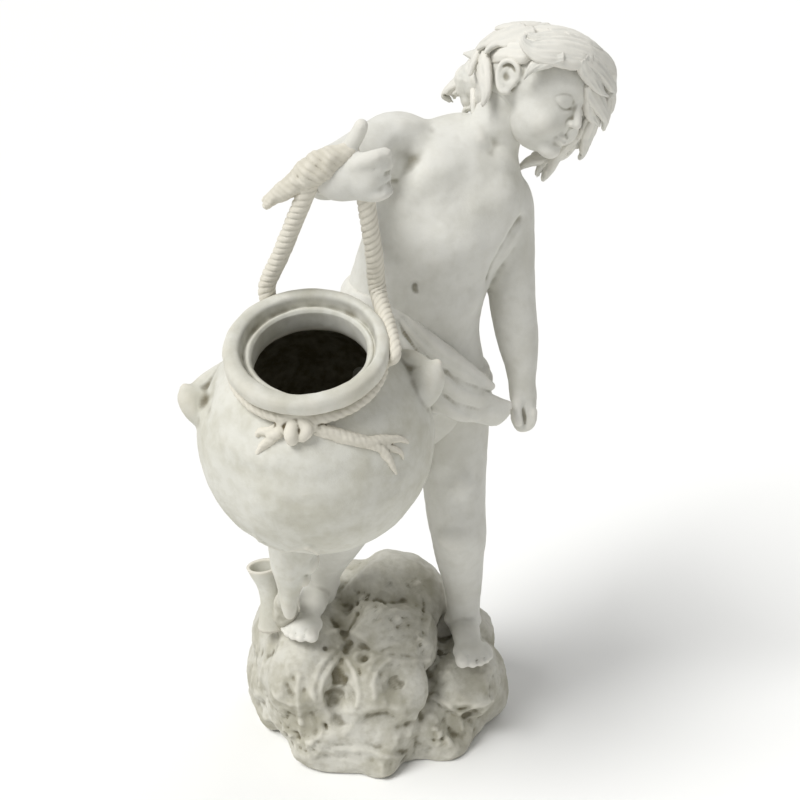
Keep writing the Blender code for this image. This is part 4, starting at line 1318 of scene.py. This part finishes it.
# Faces struck off the front: pixels in the photograph, facing, depth and reach
STRUCK_FACES = [
    (462, 686, (0.15, -0.45, 0.88), 3, 34), (462, 722, (0.25, -0.9, 0.1), 5, 30),
    (350, 768, (-0.15, -0.97, 0.1), 4, 44), (390, 768, (0.45, -0.85, 0.1), 4, 26),
    (284, 752, (-0.6, -0.78, 0.1), 4, 36), (262, 716, (-0.85, -0.5, 0.15), 4, 26),
    (390, 584, (0.2, -0.72, 0.66), 3, 34), (345, 620, (-0.1, -0.7, 0.7), 3, 26),
    (446, 630, (0.5, -0.7, 0.5), 3, 26), (300, 690, (-0.35, -0.9, 0.25), 3, 24),
    (498, 690, (0.85, -0.45, 0.25), 3, 26), (380, 730, (0.05, -0.95, 0.3), 3, 30),
    (440, 745, (0.2, -0.95, 0.2), 3, 22), (268, 640, (-0.75, -0.5, 0.4), 3, 26),
]


def chiselled(clay):
    """Flat faces, as struck off with a wide chisel."""
    for x, y, facing, depth, reach in STRUCK_FACES:
        place = clay.under(x, y)
        if place is None:
            continue
        facing = np.array(facing) / np.linalg.norm(facing)
        away = clay.points - place
        height = away @ facing + depth
        near = np.clip((1 - np.linalg.norm(away, axis=1) / reach) * 3, 0, 1)
        clay.points -= facing * (np.maximum(height, 0) * near * 0.85)[:, None]
    # the back and sides are struck off more plainly
    for number in range(22):
        angle = math.radians(-20 + number * 10.5)
        rise = 0.15 + 0.35 * (number % 3)
        facing = np.array([math.cos(angle), math.sin(angle), rise])
        facing /= np.linalg.norm(facing)
        level = 20 + 34 * (number % 4)
        band = (np.abs(clay.points[:, 2] - level) < 30) & (clay.normals @ facing > 0.86)
        if not band.any():
            continue
        height = clay.points @ facing
        over = np.maximum(height - np.percentile(height[band], 84), 0)
        fade = (np.clip(1.5 - np.abs(clay.points[:, 2] - level) / 24, 0, 1)
                * np.clip((clay.normals @ facing - 0.6) * 4, 0, 1))
        clay.points -= facing * (np.minimum(over, 6) * fade * 0.8)[:, None]
    clay.write()
    clay.relax(2)
    clay.write()


# The front's basins, pits and swellings: (x, y, reach, height) in the photograph. The left basin
# is narrow and deep, the right one wide and shallow.
ROCK_PLACES = [
    (339, 696, 22, -11), (341, 678, 15, -8), (403, 679, 32, -9), (398, 690, 22, -3),
    (363, 656, 10, -9), (366, 648, 14, -3), (470, 717, 14, -6), (352, 737, 12, -2.5),
    (326, 726, 5, -5), (326, 648, 5, -4), (372, 606, 26, 2.0), (404, 624, 24, 1.5),
    (266, 716, 11, 3.0), (300, 660, 20, 3.0), (372, 575, 26, 2.0),
]
# Ridges and grooves of the front: pixels, width, height and, where it isn't sharp, the crest
ROCK_LINES = [
    # the lips of the basins and the rings round them
    ([(341, 654), (331, 667), (322, 684), (321, 700), (330, 716)], 4.5, 3.6),
    ([(345, 657), (355, 674), (359, 692), (357, 706)], 4.0, 3.2),
    ([(338, 648), (322, 664), (314, 684), (314, 700)], 4.0, 2.4),
    ([(375, 698), (373, 684), (378, 670), (389, 659)], 4.5, 3.6),
    ([(389, 659), (407, 661), (430, 659)], 4.0, 2.6),
    ([(367, 694), (367, 680), (371, 666), (381, 656), (396, 649)], 3.6, 2.0),
    ([(326, 634), (341, 630), (359, 635), (370, 644), (378, 648), (388, 644), (396, 643)], 5.0, 3.2),
    ([(330, 643), (344, 639), (356, 644)], 4.0, -2.0, 1.4),
    ([(363, 664), (363, 688)], 2.6, 1.6, 1.4), ([(369, 664), (368, 690)], 2.6, -1.6, 1.4),
    ([(360, 668), (361, 690)], 2.2, -1.4, 1.4),
    # the slit behind the crusty band and the roll above it
    ([(354, 591), (374, 597), (391, 606), (408, 608)], 4.5, -4.0),
    ([(378, 565), (393, 576), (405, 592), (411, 604)], 6.0, 2.4, 1.4),
    ([(352, 582), (372, 586), (392, 594)], 7.0, 2.4, 1.4),
    ([(423, 595), (424, 610), (421, 627)], 4.0, -4.2),
    ([(429, 598), (430, 614), (427, 630)], 4.0, 1.6, 1.4),
    # the ledge with its point, and the shadowed step below it
    ([(434, 697), (446, 703), (459, 711), (472, 707), (492, 700)], 4.2, 4.2),
    ([(440, 706), (458, 717), (488, 706)], 5.0, -2.6),
    ([(458, 712), (462, 722), (462, 730)], 4.0, 2.4),
    ([(444, 684), (464, 690), (490, 688)], 5.0, -1.4, 1.4),
    # the cleft between the front lobe and the right one
    ([(413, 762), (416, 744), (420, 727), (422, 714)], 9.0, -5.0, 1.4),
    ([(404, 748), (410, 732), (416, 716)], 6.0, 2.4, 1.4),
    ([(424, 712), (436, 720), (446, 732), (450, 746)], 6.0, 2.2),
    # the low ledge along the front
    ([(334, 748), (349, 750), (367, 750), (387, 756), (402, 756)], 5.0, 3.0),
    ([(300, 742), (318, 750), (334, 752)], 5.0, 2.6),
    ([(340, 757), (366, 760), (392, 764)], 7.0, -1.8, 1.4),
    # the raised strands and the curl on the left front
    ([(299, 676), (298, 702), (301, 724)], 4.6, 3.6),
    ([(310, 688), (319, 707), (330, 726)], 3.6, 2.6),
    ([(315, 682), (323, 701), (334, 719)], 3.0, -2.0),
    ([(304, 690), (309, 708), (318, 724)], 3.4, -2.2),
    ([(299, 729), (304, 739), (312, 742), (321, 735), (323, 726)], 4.2, 3.2),
    ([(286, 664), (290, 680), (296, 690)], 5.0, 2.4),
    # layers down the left side
    ([(258, 646), (254, 670), (251, 690)], 3.6, 2.6), ([(263, 646), (258, 670), (256, 688)], 3.0, -2.4),
    ([(268, 646), (262, 668), (260, 686)], 3.4, 2.4), ([(274, 650), (268, 668), (266, 684)], 3.0, -2.0),
    ([(272, 690), (280, 700), (292, 704)], 4.0, 2.4),
]
# Crusty places: the band below the mound, the left side and the left front: (x, y, reach)
CRUST_PLACES = [
    (362, 602, 18), (380, 610, 22), (398, 622, 20), (420, 640, 16), (268, 698, 18), (282, 712, 16),
    (290, 735, 22), (310, 748, 16), (440, 655, 20), (448, 672, 14), (440, 735, 18), (272, 600, 14),
    (418, 585, 14),
]
SHARP_CREST = 1.3
LINE_WIDTH = 1.25
RIDGE_HEIGHT = 0.8
GROOVE_DEPTH = 0.55


def rock_marks(clay):
    """The basins, ridges, slits and ledges of the front, where the photograph shows them."""
    clay.swells(ROCK_PLACES)
    clay.write()
    for pixels, width, height, *crest in ROCK_LINES:
        share = RIDGE_HEIGHT if height > 0 else GROOVE_DEPTH
        clay.drawn(pixels, width * LINE_WIDTH, height * share, crest[0] if crest else SHARP_CREST)
    clay.write()
    clay.relax(2)
    clay.write()
    crust = np.zeros(len(clay.points))
    for x, y, reach in CRUST_PLACES:
        place = clay.under(x, y)
        if place is not None:
            away = np.linalg.norm(clay.points - place, axis=1) / reach
            crust = np.maximum(crust, np.clip(1.3 * (1 - away), 0, 1))
    ground = np.clip(clay.points[:, 2] / 4, 0, 1)
    pitted = np.array([noise.fractal(Vector(point) / 14, 0.8, 2.1, 4) for point in clay.points])
    clay.points += clay.normals * ((0.8 + 3.0 * crust) * pitted * ground)[:, None]
    clay.roughen(1.8, 5, crust * ground, 7.0)
    clay.roughen(0.3, 5, ground)


def hanging_end():
    """The rounded end that hangs below the pot, with its knob and its blunt tip."""
    forms = [
        limb([(-76, -100, 306, 25), (-79, -100, 284, 26), (-82, -100, 262, 22), (-84, -100, 244, 16.5),
              (-85, -100, 228, 12), (-86, -100, 214, 9.5), (-86, -100, 205, 8), (-86, -100, 199, 6.5)]),
        ball(-70, -106, 246, (8, 9, 9)),
        ball(-65, -104, 264, (11, 12, 14)),
    ]
    end = fused("hanging_end", forms, 4)
    clay = Clay(end)
    clay.roughen(0.8, 12)
    clay.write()
    return end


def flared_tube():
    """The small flared tube that stands on the rock beside the hanging end."""
    angle = np.linspace(0, 2 * math.pi, 56, endpoint=False)
    outside = eased([(-110, -52, 150, 15), (-110, -52, 166, 13), (-110, -52, 184, 11),
                     (-112, -52, 202, 11.5), (-115, -52, 216, 14.5), (-116, -52, 226, 17.5)], 5)

    def oval(x, y, z, radius):
        return [(x + radius * math.cos(a), y + radius * 0.8 * math.sin(a),
                 z + 0.12 * radius * math.cos(a)) for a in angle]

    rings = [oval(x, y, z, radius) for x, y, z, radius in outside]
    rings += [oval(x, y, z, radius - 3) for x, y, z, radius in outside[::-1][:14]]
    return ringed("flared_tube", rings)


# Weathered stone, with dirt and painted shade in the hollows and wear and painted highlight on the edges

def linear(code):
    """A hex sRGB colour as the linear colour that a shader takes."""
    channels = [int(code[start:start + 2], 16) / 255 for start in (1, 3, 5)]
    return (*[c / 12.92 if c <= 0.04045 else ((c + 0.055) / 1.055) ** 2.4 for c in channels], 1.0)


def hollows_for_dirt_shade_and_highlight(piece, spacing):
    """Writes how hollow each point lies, which sets where dirt and painted shade darken the stone and
    where wear and a painted highlight lighten it: above zero in hollows, below on edges.
    """
    clay = Clay(piece)

    def hollow(reach):
        spread = clay.points.copy()
        for step in range(max(1, round((reach / spacing) ** 2))):
            spread += (clay.mean(spread) - spread) * 0.6
        return ((spread - clay.points) * clay.normals).sum(1)

    fine = hollow(2.5)
    wide = hollow(8.0)
    values = np.clip(fine * 1.6, -1, 1) * 0.55 + np.clip(wide * 0.55, -1, 1) * 0.45
    values = clay.mean(values[:, None])[:, 0]
    attribute = piece.data.attributes.new("hollow", "FLOAT", "POINT")
    attribute.data.foreach_set("value", values.astype(np.float32))


def add_node(tree, kind, inputs=None, **settings):
    """Adds a node with its settings; an input is a value or another node's output."""
    made = tree.nodes.new(kind)
    for name, value in settings.items():
        setattr(made, name, value)
    for name, value in (inputs or {}).items():
        if isinstance(value, bpy.types.NodeSocket):
            tree.links.new(value, made.inputs[name])
        else:
            made.inputs[name].default_value = value
    return made


def cast_stone(name, pale, mottle, grime_and_shade, worn_edge_and_highlight, grime_and_shade_amount, blotch, grain_height, roughness):
    """Cast stone, tamped into a mould and left outdoors: pale, dead matt and faintly mottled,
    with olive dirt and painted shade darkening the hollows, and edges lighter and warmer from wear and a
    painted highlight."""
    material = bpy.data.materials.new(name)
    material.use_nodes = True
    tree = material.node_tree
    shader = tree.nodes["Principled BSDF"]
    place = add_node(tree, "ShaderNodeTexCoord").outputs["Object"]

    def spread(scale, detail, **more):
        values = {"Vector": place, "Scale": scale, "Detail": detail, **more}
        return add_node(tree, "ShaderNodeTexNoise", values).outputs["Fac"]

    def ranged(value, low, high, top, **settings):
        values = {"Value": value, "From Min": low, "From Max": high, "To Max": top}
        return add_node(tree, "ShaderNodeMapRange", values, **settings).outputs[0]

    def mixed(share, first, second):
        values = {0: share, 6: first, 7: linear(second)}
        return add_node(tree, "ShaderNodeMix", values, data_type="RGBA").outputs[2]

    # clouds of damp about 60 mm across, mottling of 12 mm, and sand grains of about 1 mm
    clouds = spread(16.0, 5.0, Roughness=0.6)
    spots = spread(85.0, 4.0, Roughness=0.6)
    sand = spread(900.0, 2.0)
    cloud_share = ranged(clouds, 0.42, 0.68, blotch, interpolation_type="SMOOTHSTEP")
    spot_share = ranged(spots, 0.45, 0.7, blotch * 0.6)
    body = mixed(cloud_share, linear(pale), mottle)
    body = mixed(spot_share, body, mottle)
    # olive dirt and painted shade darken the hollows, unevenly
    hollow = add_node(tree, "ShaderNodeAttribute", attribute_name="hollow").outputs["Fac"]
    uneven = add_node(tree, "ShaderNodeMath", {0: spots, 1: 1.0}, operation="MULTIPLY_ADD")
    uneven.inputs[2].default_value = 0.5
    grime_and_shade_share = ranged(hollow, 0.04, 0.5, grime_and_shade_amount, interpolation_type="SMOOTHSTEP")
    grime_and_shade_share = add_node(tree, "ShaderNodeMath", {0: grime_and_shade_share, 1: uneven.outputs[0]}, operation="MULTIPLY",
                    use_clamp=True).outputs[0]
    body = mixed(grime_and_shade_share, body, grime_and_shade)
    # convex edges turn lighter and warmer: partly wear, partly a painted highlight
    worn_edge_and_highlight_share = ranged(hollow, -0.1, -0.6, 0.75)
    body = mixed(worn_edge_and_highlight_share, body, worn_edge_and_highlight)
    tree.links.new(body, shader.inputs["Base Color"])
    coarse = add_node(tree, "ShaderNodeBump",
                      {"Height": spots, "Strength": 0.25, "Distance": grain_height * 3 * MM})
    fine = add_node(tree, "ShaderNodeBump",
                    {"Height": sand, "Strength": 0.5, "Distance": grain_height * MM,
                     "Normal": coarse.outputs["Normal"]})
    tree.links.new(fine.outputs["Normal"], shader.inputs["Normal"])
    dull = add_node(tree, "ShaderNodeMapRange",
                    {"Value": spots, "To Min": roughness - 0.08, "To Max": roughness + 0.08})
    tree.links.new(dull.outputs[0], shader.inputs["Roughness"])
    shader.inputs["IOR"].default_value = 1.5
    shader.inputs["Metallic"].default_value = 0.0
    shader.inputs["Specular IOR Level"].default_value = 0.3
    return material


# Each stone's colours (pale, mottle, dark olive for dirt and painted shade in the hollows, light for wear
# and painted highlight on the edges), its share of dirt and painted shade, blotches, grain and roughness
STONES = {
    "smooth": ("#d9d8d1", "#c3c1b6", "#736d58", "#e2dfd6", 0.75, 0.5, 0.25, 0.78),
    "rope": ("#d3cfc2", "#bfb9a8", "#5a5039", "#ded9cc", 0.95, 0.5, 0.3, 0.8),
    "pot": ("#d4d3ca", "#b6b3a2", "#625b45", "#dcd7ca", 0.9, 0.6, 0.3, 0.76),
    "rough": ("#c8c6bc", "#a19d8b", "#5f5943", "#d6d3c7", 0.8, 0.8, 0.5, 0.86),
}


def make():
    stones = {name: cast_stone(name + "_cast_stone", *look) for name, look in STONES.items()}
    ropes = bail_ropes()
    body, legs = child_body(), child_legs()
    finished = [
        (body, "smooth"), (legs, "smooth"), (child_head(), "smooth"), (hair(), "smooth"),
        (hip_cloth(body, legs), "smooth"), (pot_body(), "pot"), (pot_lip(), "pot"), (neck_rope(), "rope"),
        *[(rope, "rope") for rope in ropes], (rock(), "rough"), (hanging_end(), "pot"),
        (flared_tube(), "pot"),
    ]
    for piece, stone in finished:
        hollows_for_dirt_shade_and_highlight(piece, SPACING[piece.name])
        piece.data.materials.clear()
        piece.data.materials.append(stones[stone])
        alone(piece)
        bpy.ops.object.shade_smooth()
        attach(piece, "root")
        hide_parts("statue")


# The studio: white paper, and two suns, each with its place, strength and width in degrees

SUNS = {"key": ((-1.5, -1.0, 2.4), 2.75, 30), "back": ((1.2, 1.9, 1.6), 0.5, 50)}
SKY_STRENGTH = 0.35
SENSOR_WIDTH = 36


def studio():
    alone()
    bpy.ops.mesh.primitive_plane_add(size=14, location=(0, 0, -0.0005))
    floor = bpy.context.object
    floor.name = "floor"
    paper = bpy.data.materials.new("white_paper")
    paper.use_nodes = True
    shader = paper.node_tree.nodes["Principled BSDF"]
    shader.inputs["Base Color"].default_value = linear("#f4f4f2")
    shader.inputs["Roughness"].default_value = 0.9
    floor.data.materials.append(paper)
    world = bpy.data.worlds.new("studio")
    world.use_nodes = True
    sky = world.node_tree.nodes["Background"]
    sky.inputs["Color"].default_value = (1, 1, 1, 1)
    sky.inputs["Strength"].default_value = SKY_STRENGTH
    bpy.context.scene.world = world
    for name, (place, power, angle) in SUNS.items():
        light = bpy.data.lights.new(name, "SUN")
        light.energy = power
        light.angle = math.radians(angle)
        lamp = bpy.data.objects.new(name, light)
        lamp.location = place
        lamp.rotation_euler = (-Vector(place)).to_track_quat("-Z", "Y").to_euler()
        bpy.context.scene.collection.objects.link(lamp)
    camera = bpy.data.cameras.new("camera")
    camera.sensor_width = SENSOR_WIDTH
    camera.lens = SENSOR_WIDTH * FOCAL_PIXELS / PICTURE
    stand = bpy.data.objects.new("camera", camera)
    stand.location = Vector(EYE) * MM
    stand.rotation_euler = Vector(FORWARD).to_track_quat("-Z", "Y").to_euler()
    bpy.context.scene.collection.objects.link(stand)
    bpy.context.scene.camera = stand
    bpy.context.scene.view_settings.view_transform = "Standard"


make()
studio()
